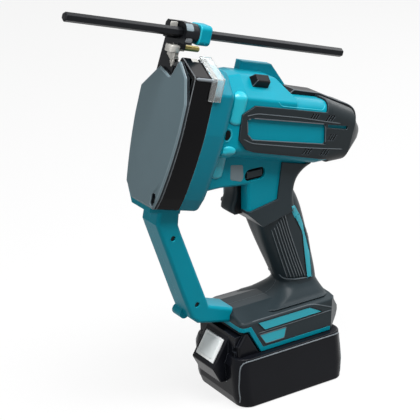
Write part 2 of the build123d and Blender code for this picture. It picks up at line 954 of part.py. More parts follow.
# Hook: frame plate with the pivot eye, post, bracket and boss for the gauge bar
with BuildPart() as hook_arm:
    post_low = notch_root[1] - post_root
    with BuildSketch(across(cover_front)):
        with Locations(pivot):
            Circle(hook_eye)
        with Locations((post_middle, post_low)):
            Circle(post_half)
        make_hull()
    extrude(amount=hook_thick)
    with BuildSketch(across(cover_front)):
        with BuildLine():
            Polyline(
                (post_near, post_low),
                (post_near, bracket_floor),
                (bracket_near, bracket_floor),
                (bracket_near, tray_top),
                (wall_near, tray_top),
                (wall_near, bracket_top),
                (bracket_far - bracket_bevel[0], bracket_top),
                (bracket_far, bracket_top - bracket_bevel[1]),
                (post_far_top, bracket_floor),
                (post_far_low, post_low),
                close=True,
            )
        make_face()
    extrude(amount=hook_thick)
    with BuildSketch(across(bracket_front)):
        with BuildLine():
            Polyline(
                (wall_near, bracket_floor + wall_root),
                (wall_near, bracket_top),
                (bracket_far - bracket_bevel[0], bracket_top),
                (bracket_far, bracket_top - bracket_bevel[1]),
                (bracket_far, bracket_floor + wall_root),
                close=True,
            )
        make_face()
    extrude(amount=cover_front + hook_thick - bracket_front)
    with BuildSketch(across(bracket_rear - boss_length)):
        with Locations((0, gauge_height)):
            Circle(boss_radius)
    extrude(amount=boss_length)
    with BuildSketch(across(bracket_rear - boss_length)):
        with Locations((0, gauge_height)):
            Circle(gauge_bore)
    extrude(amount=boss_length, mode=Mode.SUBTRACT)
    with BuildSketch(across(cover_front)):
        with Locations(pivot):
            Circle(pivot_radius)
    extrude(amount=hook_thick, mode=Mode.SUBTRACT)
    with BuildSketch(across(cover_front + stop_pin_blind)):
        with Locations(stop_pin):
            Circle(stop_pin_radius)
    extrude(amount=hook_thick - stop_pin_blind, mode=Mode.SUBTRACT)
    with BuildSketch(across(cover_front)):
        die_block(fixed_lip, fixed_die_half, fixed_die_length)
        die_block(fixed_lip, fixed_die_half, -die_gap - die_length)
    extrude(amount=hook_thick, mode=Mode.SUBTRACT)
hook_arm.part.label = "hook_arm"
export_step(hook_arm.part, "parts/hook_arm.step")

# Cutting dies: the fixed one in the hook, the moving one on the swing arm
with BuildPart() as fixed_die:
    with BuildSketch(across(cover_front)):
        die_block(fixed_lip, fixed_die_half, fixed_die_length)
        with Locations(fixed_lip):
            Circle(rod_notch, mode=Mode.SUBTRACT)
    extrude(amount=hook_thick)
fixed_die.part.label = "fixed_die"
export_step(fixed_die.part, "parts/fixed_die.step")

with BuildPart() as moving_die:
    with BuildSketch(across(arm_front)):
        die_block(die_lip, die_half, -die_length)
        with Locations(die_lip):
            Circle(rod_notch, mode=Mode.SUBTRACT)
        with Locations(die_screw_spot):
            Circle(die_screw, mode=Mode.SUBTRACT)
    extrude(amount=arm_thick)
moving_die.part.label = "moving_die"
export_step(moving_die.part, "parts/moving_die.step")

with BuildPart() as die_screw_piece:
    with BuildSketch(across(arm_front)):
        with Locations(die_screw_spot):
            Circle(die_screw)
    extrude(amount=arm_thick)
    with BuildSketch(across(arm_front)):
        with Locations(die_screw_spot):
            RegularPolygon(die_screw / 2, 6)
    extrude(amount=arm_thick / 4, mode=Mode.SUBTRACT)
die_screw_piece.part.label = "die_screw"
export_step(die_screw_piece.part, "parts/die_screw.step")

# Swing arm: an upper limb to the die and a cranked lower limb to the cam roller
with BuildPart() as swing_arm:
    limbs = (
        ((pivot, arm_boss), (die_back, die_back_radius)),
        ((pivot, arm_boss), (knee, knee_radius)),
        ((knee, knee_radius), (roller_rest, limb_end_radius)),
    )
    for limb in limbs:
        with BuildSketch(across(arm_front)):
            for centre, radius in limb:
                with Locations(centre):
                    Circle(radius)
            make_hull()
        extrude(amount=arm_thick)
    with BuildSketch(across(arm_front)):
        die_block(die_lip, die_half, -die_length)
    extrude(amount=arm_thick, mode=Mode.SUBTRACT)
    with BuildSketch(across(arm_front)):
        with Locations(pivot):
            Circle(pivot_radius + running_fit)
        with Locations(roller_rest):
            Circle(roller_pin_radius)
    extrude(amount=arm_thick, mode=Mode.SUBTRACT)
swing_arm.part.label = "swing_arm"
export_step(swing_arm.part, "parts/swing_arm.step")

with BuildPart() as pivot_pin:
    with BuildSketch(across(cover_front)):
        with Locations(pivot):
            Circle(pivot_radius)
    extrude(amount=pin_length)
    chamfer(pivot_pin.edges().filter_by(GeomType.CIRCLE), pin_chamfer)
pivot_pin.part.label = "pivot_pin"
export_step(pivot_pin.part, "parts/pivot_pin.step")

with BuildPart() as roller_pin:
    with BuildSketch(across(arm_front)):
        with Locations(roller_rest):
            Circle(roller_pin_radius)
    extrude(amount=arm_thick + layer_gap + cam_thick)
roller_pin.part.label = "roller_pin"
export_step(roller_pin.part, "parts/roller_pin.step")

with BuildPart() as cam_roller:
    with BuildSketch(across(cam_front)):
        with Locations(roller_rest):
            Circle(roller_radius)
            Circle(roller_pin_radius + running_fit, mode=Mode.SUBTRACT)
    extrude(amount=cam_thick)
cam_roller.part.label = "cam_roller"
export_step(cam_roller.part, "parts/cam_roller.step")

# Snail cam: its rise swings the arm evenly, and the rest of the turn eases back to the base
cam_points = []
for step in range(rise_steps + 1):
    share = step / rise_steps
    spot = turned(roller_rest, pivot, -arm_swing * share)
    spot = turned(spot, cam_centre, -cam_turn * share)
    reach = hypot(spot[0] - cam_centre[0], spot[1] - cam_centre[1])
    inward = ((cam_centre[0] - spot[0]) / reach, (cam_centre[1] - spot[1]) / reach)
    cam_points.append(shifted(spot, inward, roller_radius + cam_clearance))
base_spot = cam_points[0]
top_spot = cam_points[-1]
base_reach = hypot(base_spot[0] - cam_centre[0], base_spot[1] - cam_centre[1])
top_reach = hypot(top_spot[0] - cam_centre[0], top_spot[1] - cam_centre[1])
top_angle = degrees(atan2(top_spot[1] - cam_centre[1], top_spot[0] - cam_centre[0]))
base_angle = degrees(atan2(base_spot[1] - cam_centre[1], base_spot[0] - cam_centre[0]))
fall = (top_angle - base_angle) % 360
for step in range(1, fall_steps):
    share = step / fall_steps
    reach = base_reach + (top_reach - base_reach) * (1 + cos(pi * share)) / 2
    angle = radians(top_angle - fall * share)
    cam_points.append((cam_centre[0] + reach * cos(angle), cam_centre[1] + reach * sin(angle)))

with BuildPart() as cam:
    with BuildSketch(across(cam_front)):
        with BuildLine():
            Spline(*cam_points, periodic=True)
        make_face()
        with Locations(cam_centre):
            Circle(shaft_radius, mode=Mode.SUBTRACT)
    extrude(amount=cam_thick)
cam.part.label = "cam"
export_step(cam.part, "parts/cam.step")

cam_shaft_front = cover_front + seat_step + layer_gap
cam_shaft_rear = taper_front + bearing_width - seat_step - layer_gap
with BuildPart() as cam_shaft:
    with BuildSketch(across(cam_shaft_front)):
        with Locations(cam_centre):
            Circle(shaft_radius)
    extrude(amount=cam_shaft_rear - cam_shaft_front)
cam_shaft.part.label = "cam_shaft"
export_step(cam_shaft.part, "parts/cam_shaft.step")

with BuildPart() as drive_wheel:
    with BuildSketch(across(wheel_front)):
        with Locations(cam_centre):
            gear_face(wheel_teeth, spur_module, 90)
            Circle(shaft_radius, mode=Mode.SUBTRACT)
    extrude(amount=wheel_width)
drive_wheel.part.label = "drive_wheel"
export_step(drive_wheel.part, "parts/drive_wheel.step")

# Planet stage: carrier with the output pinion, three planets, ring and sun
carrier_front = ring_front - carrier_thick - gear_gap
with BuildPart() as pinion_shaft:
    with BuildSketch(across(wheel_front - seat_step)):
        Circle(shaft_radius)
    extrude(amount=carrier_front + carrier_thick - wheel_front + seat_step)
    with BuildSketch(across(wheel_front)):
        gear_face(pinion_teeth, spur_module, -90 + 180 / pinion_teeth)
    extrude(amount=wheel_width)
pinion_shaft.part.label = "pinion_shaft"
export_step(pinion_shaft.part, "parts/pinion_shaft.step")

planet_angles = (90, 210, 330)
with BuildPart() as planet_carrier:
    with BuildSketch(across(carrier_front)):
        Circle(planet_orbit + planet_pin_radius + carrier_rim)
        Circle(shaft_radius, mode=Mode.SUBTRACT)
    extrude(amount=carrier_thick)
    with BuildSketch(across(carrier_front + carrier_thick)):
        with PolarLocations(planet_orbit, len(planet_angles), planet_angles[0]):
            Circle(planet_pin_radius)
    extrude(amount=ring_width - 2 * gear_gap)
planet_carrier.part.label = "planet_carrier"
export_step(planet_carrier.part, "parts/planet_carrier.step")

for number, angle in enumerate(planet_angles, 1):
    with BuildPart() as planet_gear:
        with BuildSketch(across(ring_front + gear_gap)):
            with Locations(turned((planet_orbit, 0), (0, 0), angle)):
                gear_face(planet_teeth, planet_module, angle)
                Circle(planet_pin_radius + running_fit, mode=Mode.SUBTRACT)
        extrude(amount=ring_width - 4 * gear_gap)
    planet_gear.part.label = f"planet_gear_{number}"
    export_step(planet_gear.part, f"parts/planet_gear_{number}.step")

ring_tip = root_depth * planet_module
ring_root = tip_height * planet_module
with BuildPart() as ring_gear:
    with BuildSketch(across(ring_front)):
        Circle(bay_radius - bay_fit)
        Polygon(
            *gear_points(ring_teeth, planet_module, ring_tip, ring_root, -tooth_backlash, 90),
            align=None,
            mode=Mode.SUBTRACT,
        )
    extrude(amount=ring_width)
ring_gear.part.label = "ring_gear"
export_step(ring_gear.part, "parts/ring_gear.step")

# Motor: rotor with the sun teeth on its shaft, stator, fan, bearings and bulkhead
with BuildPart() as rotor_shaft_piece:
    with BuildSketch(across(ring_front)):
        Circle(rotor_shaft)
    extrude(amount=bay_rear + motor_bearing_width - ring_front)
    with BuildSketch(across(ring_front + gear_gap)):
        gear_face(sun_teeth, planet_module, planet_angles[0])
    extrude(amount=ring_width - 4 * gear_gap)
rotor_shaft_piece.part.label = "rotor_shaft"
export_step(rotor_shaft_piece.part, "parts/rotor_shaft.step")

with BuildPart() as rotor_core:
    with BuildSketch(across(stator_front + rotor_inset)):
        Circle(rotor_radius)
        Circle(rotor_shaft, mode=Mode.SUBTRACT)
    extrude(amount=stator_length - 2 * rotor_inset)
rotor_core.part.label = "rotor_core"
export_step(rotor_core.part, "parts/rotor_core.step")

with BuildPart() as stator:
    with BuildSketch(across(stator_front)):
        Circle(bay_radius - bay_fit)
        Circle(stator_bore, mode=Mode.SUBTRACT)
        with PolarLocations(coil_slot_orbit, coil_slots, 180 / coil_slots):
            Rectangle(coil_slot_depth, coil_slot_width, mode=Mode.SUBTRACT)
    extrude(amount=stator_length)
stator.part.label = "stator"
export_step(stator.part, "parts/stator.step")

fan_hub_radius = rotor_shaft + fan_hub
fan_blade_length = fan_radius - fan_blade_inset - fan_hub_radius
with BuildPart() as cooling_fan:
    with BuildSketch(across(fan_front)):
        Circle(fan_radius)
        Circle(rotor_shaft, mode=Mode.SUBTRACT)
    extrude(amount=fan_disc)
    with BuildSketch(across(fan_front + fan_disc)):
        Circle(fan_hub_radius)
        Circle(rotor_shaft, mode=Mode.SUBTRACT)
        with PolarLocations(fan_hub_radius + fan_blade_length / 2, fan_blades):
            Rectangle(fan_blade_length, fan_blade_thick, rotation=fan_blade_turn)
    extrude(amount=fan_length - fan_disc)
cooling_fan.part.label = "cooling_fan"
export_step(cooling_fan.part, "parts/cooling_fan.step")

with BuildPart() as gearbox_plate:
    with BuildSketch(across(plate_seat)):
        Circle(bay_radius - bay_fit)
        Circle(rotor_shaft + shaft_passage, mode=Mode.SUBTRACT)
    extrude(amount=bulkhead_thick)
    with BuildSketch(across(plate_seat)):
        Circle(motor_bearing_radius)
    extrude(amount=motor_bearing_width, mode=Mode.SUBTRACT)
gearbox_plate.part.label = "gearbox_plate"
export_step(gearbox_plate.part, "parts/gearbox_plate.step")

with BuildPart() as motor_bearings:
    for front in (plate_seat, bay_rear):
        with BuildSketch(across(front)):
            Circle(motor_bearing_radius)
            Circle(rotor_shaft + running_fit, mode=Mode.SUBTRACT)
        extrude(amount=motor_bearing_width)
motor_bearings.part.label = "motor_bearings"
export_step(motor_bearings.part, "parts/motor_bearings.step")

front_seat = cover_front + seat_step
rear_seat = taper_front - seat_step
with BuildPart() as head_bearings:
    for front, centre in ((front_seat, cam_centre), (rear_seat, cam_centre), (rear_seat, (0, 0))):
        with BuildSketch(across(front)):
            with Locations(centre):
                Circle(bearing_radius)
                Circle(shaft_radius + running_fit, mode=Mode.SUBTRACT)
        extrude(amount=bearing_width)
head_bearings.part.label = "head_bearings"
export_step(head_bearings.part, "parts/head_bearings.step")

# Gauge bar, its clamp and the stop pin under the bracket
with BuildPart() as gauge_bar:
    with BuildSketch(across(gauge_front)):
        with Locations((0, gauge_height)):
            RegularPolygon(gauge_across / 2, 6, major_radius=False, rotation=30)
    extrude(amount=gauge_length)
    ends = gauge_bar.faces().sort_by(motor_axis)
    chamfer(ends[0].edges() + ends[-1].edges(), gauge_chamfer)
gauge_bar.part.label = "gauge_bar"
export_step(gauge_bar.part, "parts/gauge_bar.step")

with BuildPart() as clamp_sleeve:
    with BuildSketch(across(bracket_rear)):
        with Locations((0, gauge_height)):
            Circle(boss_radius - sleeve_step)
    extrude(amount=sleeve_length)
    with BuildSketch(across(bracket_rear + sleeve_length)):
        with Locations((0, gauge_height)):
            Circle(gauge_bore + collar_wall)
    extrude(amount=cap_length - cap_roof)
    with BuildSketch(across(bracket_rear)):
        with Locations((0, gauge_height)):
            Circle(gauge_bore)
    extrude(amount=sleeve_length + cap_length, mode=Mode.SUBTRACT)
clamp_sleeve.part.label = "clamp_sleeve"
export_step(clamp_sleeve.part, "parts/clamp_sleeve.step")

cap_front = bracket_rear + sleeve_length + cap_gap
with BuildPart() as clamp_cap:
    with BuildSketch(across(cap_front)):
        with Locations((0, gauge_height)):
            RectangleRounded(cap_width, cap_width, cap_round)
    extrude(amount=cap_length)
    fillet(clamp_cap.faces().sort_by(motor_axis)[-1].edges(), cap_edge)
    with BuildSketch(across(cap_front)):
        with Locations((0, gauge_height)):
            Circle(gauge_bore + collar_wall + running_fit)
    extrude(amount=cap_length - cap_roof, mode=Mode.SUBTRACT)
    with BuildSketch(across(cap_front)):
        with Locations((0, gauge_height)):
            Circle(gauge_bore)
    extrude(amount=cap_length, mode=Mode.SUBTRACT)
clamp_cap.part.label = "clamp_cap"
export_step(clamp_cap.part, "parts/clamp_cap.step")

with BuildPart() as stop_pin_piece:
    with BuildSketch(across(cover_front + stop_pin_blind)):
        with Locations(stop_pin):
            Circle(stop_pin_radius)
    extrude(amount=hook_thick - stop_pin_blind + stop_pin_length)
    chamfer(stop_pin_piece.edges().filter_by(GeomType.CIRCLE), pin_chamfer)
stop_pin_piece.part.label = "stop_pin"
export_step(stop_pin_piece.part, "parts/stop_pin.step")

# Clear chip guard bent over the roof of the cover and down the side of the gear case
roof_lean = atan2(cover_peak[1] - near_shoulder, cover_peak[0] + head_half)
chip_corner = near_shoulder + chip_thick * (1 - sin(roof_lean)) / cos(roof_lean)
with BuildPart() as chip_guard:
    with BuildSketch(across(gear_front - chip_lap)):
        with BuildLine():
            Polyline(
                (-head_half, chip_leg),
                (-head_half, near_shoulder),
                cover_peak,
                shifted(cover_peak, (-sin(roof_lean), cos(roof_lean)), chip_thick),
                (-head_half - chip_thick, chip_corner),
                (-head_half - chip_thick, chip_leg),
                close=True,
            )
        make_face()
    extrude(amount=chip_length)
chip_guard.part.label = "chip_guard"
export_step(chip_guard.part, "parts/chip_guard.step")

# Body shell: solid forms shared by the housing halves and their soft covers


def line_prism(points, half):
    """Solid with a side outline given along and above the motor line."""
    with BuildPart() as form:
        with BuildSketch(beside()):
            Polygon(*points, align=None)
        extrude(amount=half, both=True)
    return form.part


def tool_prism(points, half):
    """Solid with a side outline given in the tool frame."""
    with BuildPart() as form:
        with BuildSketch(Plane.XZ):
            Polygon(*points, align=None)
        extrude(amount=half, both=True)
    return form.part


def block(low, high):
    """Box between two opposite corners."""
    size = [b - a for a, b in zip(low, high)]
    middle = [(a + b) / 2 for a, b in zip(low, high)]
    with BuildPart() as form:
        with Locations(Location(middle)):
            Box(*size)
    return form.part


def facing(x, y, z, side):
    """Plane facing the right of the tool for side 1 and the left for side -1."""
    return Plane(origin=(x, y, z), x_dir=(1, 0, 0), z_dir=(0, side, 0))


def vent_slots():
    """Slanted slots of the vents, in rows of three on the plane along the motor line."""
    for spot in vent_spots:
        for step in (-1, 0, 1):
            with Locations((spot[0] + step * vent_pitch, spot[1])):
                Rectangle(vent_width, vent_length, rotation=vent_slant)


def casing_outline(inset, low=0):
    """Section of the casing over the gears, drawn in evenly and closed at a lower height."""
    with BuildLine() as outline:
        FilletPolyline(
            (-barrel_half + inset, low),
            (-barrel_half + inset, casing_shoulder - inset / 2),
            (-casing_top_half, casing_top - inset),
            (casing_top_half, casing_top - inset),
            (barrel_half - inset, casing_shoulder - inset / 2),
            (barrel_half - inset, low),
            radius=casing_round,
        )
        Line((barrel_half - inset, low), (-barrel_half + inset, low))
    make_face(outline.edges())


wide = 2 * foot_half
barrel = barrel_form(0)
barrel_skin = barrel_form(skin)
foot_whole = foot_form(0)
channel = block(
    (foot_front - 2 * spare, -deck_half - slide_clearance, foot_low - 2 * spare),
    (deck_rear + slide_clearance, deck_half + slide_clearance, deck_top + slide_clearance),
)
trigger_room_half = trigger_half + trigger_gap
trigger_room = block(
    (trigger_front - spare, -trigger_room_half, trigger_low - trigger_gap),
    (trigger_rear + trigger_travel + trigger_gap, trigger_room_half, trigger_high + trigger_gap),
)
trim_band = tool_prism(
    [
        (foot_front - spare, foot_front_low + trim_height),
        (wing_front - wing_step + trim_height / 2, foot_front_low + trim_height),
        (wing_front + trim_height / 2, foot_low + trim_height),
        (trim_rear, foot_low + trim_height),
        (trim_rear, foot_low - spare),
        (foot_front - spare, foot_low - spare),
    ],
    wide,
)
stem_height = (trigger_low + trigger_high) / 2 + stem_lift
stem_room = stem_half + trigger_gap
stem_end = switch_front + stem_entry + trigger_travel + trigger_gap
stem_passage = block(
    (trigger_rear, -stem_room, stem_height - stem_room),
    (stem_end, stem_room, stem_height + stem_room),
)
switch_room = block(
    (switch_front, -switch_half, switch_low),
    (switch_rear, switch_half, switch_high),
)
board_room = block(
    (-board_length / 2, -board_width / 2, board_low),
    (board_length / 2, board_width / 2, board_low + board_height),
)
wire_room = block(
    (foot_front, -foot_half, board_low + board_height - board_rim),
    (foot_rear, foot_half, switch_low + board_rim),
)
facet = (casing_top_half - barrel_half, casing_shoulder - casing_top)
facet_length = hypot(*facet)
knob_spot = (-casing_top_half + facet[0] * knob_share, casing_top + facet[1] * knob_share)
knob_normal = Vector(0, facet[1] / facet_length, 0) + up * (-facet[0] / facet_length)


def on_facet(at):
    """Plane on the sloping left flank of the casing: x rearward, facing out of the flank."""
    spot = along * at + up * (motor_height + knob_spot[1]) + Vector(0, knob_spot[0], 0)
    return Plane(origin=spot, x_dir=along, z_dir=knob_normal)


with BuildPart() as trim_rim:
    add(foot_whole)
    add(trim_band, mode=Mode.INTERSECT)

with BuildPart() as fence_form:
    with BuildSketch(beside(-fence_far)):
        Polygon(
            (fence_front, barrel_rise - fence_root),
            (fence_front, fence_top),
            (fence_rear, fence_top),
            (fence_rear + fence_slope, barrel_rise - fence_root),
            align=None,
        )
    extrude(amount=fence_far - fence_near)
    fillet(fence_form.faces().filter_by(Axis.Y).edges(), fence_round)

# Ring that draws the front of the casing in behind the gear case
with BuildPart() as casing_ring:
    with BuildSketch(across(casing_front)):
        Rectangle(4 * barrel_half, 8 * barrel_half)
    extrude(amount=casing_flare)
    with BuildSketch(across(casing_front)):
        casing_outline(casing_flare_inset, -3 * barrel_half)
    with BuildSketch(across(casing_front + casing_flare)):
        casing_outline(0, -3 * barrel_half)
    loft(ruled=True, mode=Mode.SUBTRACT)

with BuildPart() as shell_form:
    add(barrel)
    with BuildSketch(across(casing_front)):
        casing_outline(0)
    extrude(amount=casing_rear - casing_front)
    with BuildSketch(beside()):
        Polygon(
            (casing_rear - casing_slope, casing_top),
            (casing_rear, barrel_rise),
            (casing_rear + spare, barrel_rise),
            (casing_rear + spare, casing_top + spare),
            (casing_rear - casing_slope, casing_top + spare),
            align=None,
        )
    extrude(amount=barrel_half, both=True, mode=Mode.SUBTRACT)
    add(fence_form.part)
    add(neck_form(0))
    add(casing_ring.part, mode=Mode.SUBTRACT)
    add(handle_form(0))
    add(bell_form(-skin))
    add(foot_form(skin))
    add(trim_rim.part)

# Hollow of the handle for the wires, with the screw bosses left standing in it
with BuildPart() as handle_hollow:
    add(handle_form(-handle_wall))
    add(wire_room, mode=Mode.INTERSECT)
    for x, z, half in screw_spots:
        with BuildSketch(facing(x, -half, z, 1)):
            Circle(screw_boss)
        extrude(amount=2 * half, mode=Mode.SUBTRACT)

with BuildPart() as shell:
    add(shell_form.part)
    add(channel, mode=Mode.SUBTRACT)
    for side in (-1, 1):
        rail_middle = (wing_front + deck_rear) / 2
        rail_out = side * (deck_half + slide_clearance - rail_depth / 2)
        with Locations((rail_middle, rail_out, rail_low + rail_height / 2)):
            Box(deck_rear - wing_front, rail_depth, rail_height)
    with BuildSketch(across(casing_front)):
        Circle(bay_radius)
    extrude(amount=stator_rear - casing_front, mode=Mode.SUBTRACT)
    with BuildSketch(across(stator_rear)):
        Circle(tail_bay_radius)
    extrude(amount=bay_rear - stator_rear, mode=Mode.SUBTRACT)
    hollow_front = casing_front + casing_flare
    with BuildSketch(across(hollow_front)):
        casing_outline(casing_wall)
        Circle(bay_radius + casing_wall, mode=Mode.SUBTRACT)
    extrude(amount=casing_rear - casing_slope - casing_wall - hollow_front, mode=Mode.SUBTRACT)
    with BuildSketch(across(bay_rear)):
        Circle(motor_bearing_radius)
    extrude(amount=motor_bearing_width, mode=Mode.SUBTRACT)
    for room in (trigger_room, stem_passage, switch_room, board_room, handle_hollow.part):
        add(room, mode=Mode.SUBTRACT)
    lever_length = lever_half_length + slide_clearance
    lever_height = lever_half_height + slide_clearance
    lever_slot = block(
        (lever_spot[0] - lever_length, -wide, lever_spot[1] - lever_height),
        (lever_spot[0] + lever_length, wide, lever_spot[1] + lever_height),
    )
    add(lever_slot, mode=Mode.SUBTRACT)
    for side in (-1, 1):
        eye_floor = side * (neck_half - lever_travel)
        with BuildSketch(facing(lever_spot[0], eye_floor, lever_spot[1], side)):
            SlotOverall(2 * (lever_half_length + lever_eye[0]), 2 * (lever_half_height + lever_eye[1]))
        extrude(amount=lever_travel + spare, mode=Mode.SUBTRACT)
    knob_slot = knob_stem_length + knob_travel + 2 * slide_clearance
    with BuildSketch(on_facet(knob_front + knob_length / 2 + knob_travel / 2)):
        Rectangle(knob_slot, knob_stem_width + 2 * slide_clearance)
    extrude(amount=-knob_stem_depth - slide_clearance, mode=Mode.SUBTRACT)
    with BuildSketch(beside()):
        vent_slots()
    extrude(amount=wide, both=True, mode=Mode.SUBTRACT)
    for x, z, half in screw_spots:
        with BuildSketch(facing(x, half - screw_sink, z, 1)):
            Circle(screw_head + screw_clearance)
        extrude(amount=screw_sink + spare, mode=Mode.SUBTRACT)
        with BuildSketch(facing(x, half - screw_sink, z, -1)):
            Circle(screw_radius)
        extrude(amount=half - screw_sink + screw_reach, mode=Mode.SUBTRACT)

with BuildPart() as housing_left:
    add(shell.part)
    split(bisect_by=Plane.XZ, keep=Keep.TOP)
housing_left.part.label = "housing_left"
export_step(housing_left.part, "parts/housing_left.step")

with BuildPart() as housing_right:
    add(shell.part)
    split(bisect_by=Plane.XZ, keep=Keep.BOTTOM)
housing_right.part.label = "housing_right"
export_step(housing_right.part, "parts/housing_right.step")

with BuildPart() as housing_screws:
    for x, z, half in screw_spots:
        with BuildSketch(facing(x, half - screw_sink, z, 1)):
            Circle(screw_head)
        extrude(amount=screw_head_height)
        with BuildSketch(facing(x, half - screw_sink, z, -1)):
            Circle(screw_radius)
        extrude(amount=half - screw_sink + screw_reach)
housing_screws.part.label = "housing_screws"
export_step(housing_screws.part, "parts/housing_screws.step")

# Soft side frames round the barrel, closed over its tail
with BuildPart() as frame_form:
    add(barrel_skin)
    add(line_prism(frame_outer, wide), mode=Mode.INTERSECT)
    add(line_prism(frame_window, wide), mode=Mode.SUBTRACT)
    add(line_prism(frame_stripe, wide), mode=Mode.SUBTRACT)
    add(shell_form.part, mode=Mode.SUBTRACT)
    with BuildSketch(beside()):
        vent_slots()
    extrude(amount=wide, both=True, mode=Mode.SUBTRACT)

with BuildPart() as side_frame_left:
    add(frame_form.part)
    split(bisect_by=Plane.XZ, keep=Keep.TOP)
side_frame_left.part.label = "side_frame_left"
export_step(side_frame_left.part, "parts/side_frame_left.step")

with BuildPart() as side_frame_right:
    add(frame_form.part)
    split(bisect_by=Plane.XZ, keep=Keep.BOTTOM)
side_frame_right.part.label = "side_frame_right"
export_step(side_frame_right.part, "parts/side_frame_right.step")

with BuildPart() as rear_bumper:
    with BuildSketch(beside()):
        with BuildLine():
            Polyline(*bumper_strap)
            Spline(bumper_strap[-1], *bumper_hoop)
            Line(bumper_hoop[-1], bumper_inside[0])
            Spline(*bumper_inside)
            Line(bumper_inside[-1], bumper_strap[0])
        make_face()
    extrude(amount=bumper_half, both=True)
    add(shell_form.part, mode=Mode.SUBTRACT)
    add(frame_form.part, mode=Mode.SUBTRACT)
rear_bumper.part.label = "rear_bumper"
export_step(rear_bumper.part, "parts/rear_bumper.step")

# Soft grip over the back of the neck, the handle and the foot, with hard inlays let into it
with BuildPart() as inlay_room:
    add(handle_form(2 * skin))
    add(tool_prism(inlay_outline, wide), mode=Mode.INTERSECT)
    add(handle_form(skin - inlay_depth), mode=Mode.SUBTRACT)

with BuildPart() as grip_form:
    add(neck_form(skin))
    add(tool_prism(grip_region, wide), mode=Mode.INTERSECT)
    add(handle_form(skin))
    add(bell_form(0))
    add(foot_whole)
    add(shell_form.part, mode=Mode.SUBTRACT)
    add(barrel_skin, mode=Mode.SUBTRACT)
    add(trim_band, mode=Mode.SUBTRACT)
    add(channel, mode=Mode.SUBTRACT)
    add(trigger_room, mode=Mode.SUBTRACT)
    add(inlay_room.part, mode=Mode.SUBTRACT)
    for side in (-1, 1):
        with BuildSketch(facing(0, side * (foot_half - inlay_depth), 0, side)):
            with BuildLine():
                Polyline(*[(x, -side * z) for x, z in foot_inlay_outline], close=True)
            make_face()
            with BuildLine():
                Polyline(*[(x, -side * z) for x, z in badge_outline], close=True)
            make_face()
        extrude(amount=inlay_depth + spare, mode=Mode.SUBTRACT)
    for x, z, half in screw_spots:
        with BuildSketch(facing(x, 0, z, 1)):
            Circle(screw_head + screw_clearance)
        extrude(amount=wide, mode=Mode.SUBTRACT)

with BuildPart() as grip_left:
    add(grip_form.part)
    split(bisect_by=Plane.XZ, keep=Keep.TOP)
grip_left.part.label = "grip_left"
export_step(grip_left.part, "parts/grip_left.step")

with BuildPart() as grip_right:
    add(grip_form.part)
    split(bisect_by=Plane.XZ, keep=Keep.BOTTOM)
grip_right.part.label = "grip_right"
export_step(grip_right.part, "parts/grip_right.step")

with BuildPart() as inlay_form:
    add(handle_form(skin + inlay_proud))
    add(tool_prism(inlay_outline, wide), mode=Mode.INTERSECT)
    add(handle_form(skin - inlay_depth), mode=Mode.SUBTRACT)
    add(shell_form.part, mode=Mode.SUBTRACT)

with BuildPart() as grip_inlay_left:
    add(inlay_form.part)
    split(bisect_by=Plane.XZ, keep=Keep.TOP)
grip_inlay_left.part.label = "grip_inlay_left"
export_step(grip_inlay_left.part, "parts/grip_inlay_left.step")

with BuildPart() as grip_inlay_right:
    add(inlay_form.part)
    split(bisect_by=Plane.XZ, keep=Keep.BOTTOM)
grip_inlay_right.part.label = "grip_inlay_right"
export_step(grip_inlay_right.part, "parts/grip_inlay_right.step")

with BuildPart() as foot_inlay_left:
    with BuildSketch(Plane.XZ.offset(foot_half - inlay_depth)):
        Polygon(*foot_inlay_outline, align=None)
        Polygon(*badge_outline, align=None)
    extrude(amount=inlay_depth + inlay_proud)
foot_inlay_left.part.label = "foot_inlay_left"
export_step(foot_inlay_left.part, "parts/foot_inlay_left.step")

with BuildPart() as foot_inlay_right:
    with BuildSketch(Plane.XZ.offset(-foot_half + inlay_depth)):
        Polygon(*foot_inlay_outline, align=None)
        Polygon(*badge_outline, align=None)
    extrude(amount=-inlay_depth - inlay_proud)
foot_inlay_right.part.label = "foot_inlay_right"
export_step(foot_inlay_right.part, "parts/foot_inlay_right.step")

# Hand guard from the underside of the head to the front of the foot, in two halves
with BuildPart() as guard_form:
    with BuildSketch(Plane.XZ):
        Polygon(
            from_line(guard_top_front, head_low - guard_flange / 2),
            *guard_outer,
            (foot_front + foot_nose[0], guard_end_low),
            (foot_front + foot_nose[0], guard_end_high),
            *guard_inner,
            from_line(guard_top_rear, head_low - guard_flange / 2),
            align=None,
        )
    extrude(amount=guard_half, both=True)
    fillet(guard_form.faces().filter_by(Axis.Y).edges(), guard_round)
    with BuildSketch(across(guard_flange_front)):
        Polygon(
            (-guard_half, head_low),
            (head_low_half / 2, head_low),
            (head_low_half, low_corner),
            (head_low_half + guard_flange / 2, low_corner - guard_flange / 2),
            (head_low_half / 2 + guard_flange / 2, head_low - guard_flange),
            (-guard_half, head_low - guard_flange),
            align=None,
        )
    extrude(amount=guard_top_rear - guard_flange_front)
    with BuildSketch(Plane.XZ):
        with Locations(guard_lug):
            Circle(guard_lug_radius)
    extrude(amount=-guard_half)
    add(foot_whole, mode=Mode.SUBTRACT)
    for x, z in guard_screw_spots:
        with BuildSketch(facing(x, -guard_half + guard_sink, z, -1)):
            Circle(guard_screw_recess)
        extrude(amount=guard_sink, mode=Mode.SUBTRACT)
        with BuildSketch(facing(x, -guard_half + guard_sink, z, 1)):
            Circle(guard_screw_radius)
        extrude(amount=guard_screw_length, mode=Mode.SUBTRACT)

with BuildPart() as guard_left:
    add(guard_form.part)
    split(bisect_by=Plane.XZ, keep=Keep.TOP)
guard_left.part.label = "guard_left"
export_step(guard_left.part, "parts/guard_left.step")

with BuildPart() as guard_right:
    add(guard_form.part)
    split(bisect_by=Plane.XZ, keep=Keep.BOTTOM)
guard_right.part.label = "guard_right"
export_step(guard_right.part, "parts/guard_right.step")

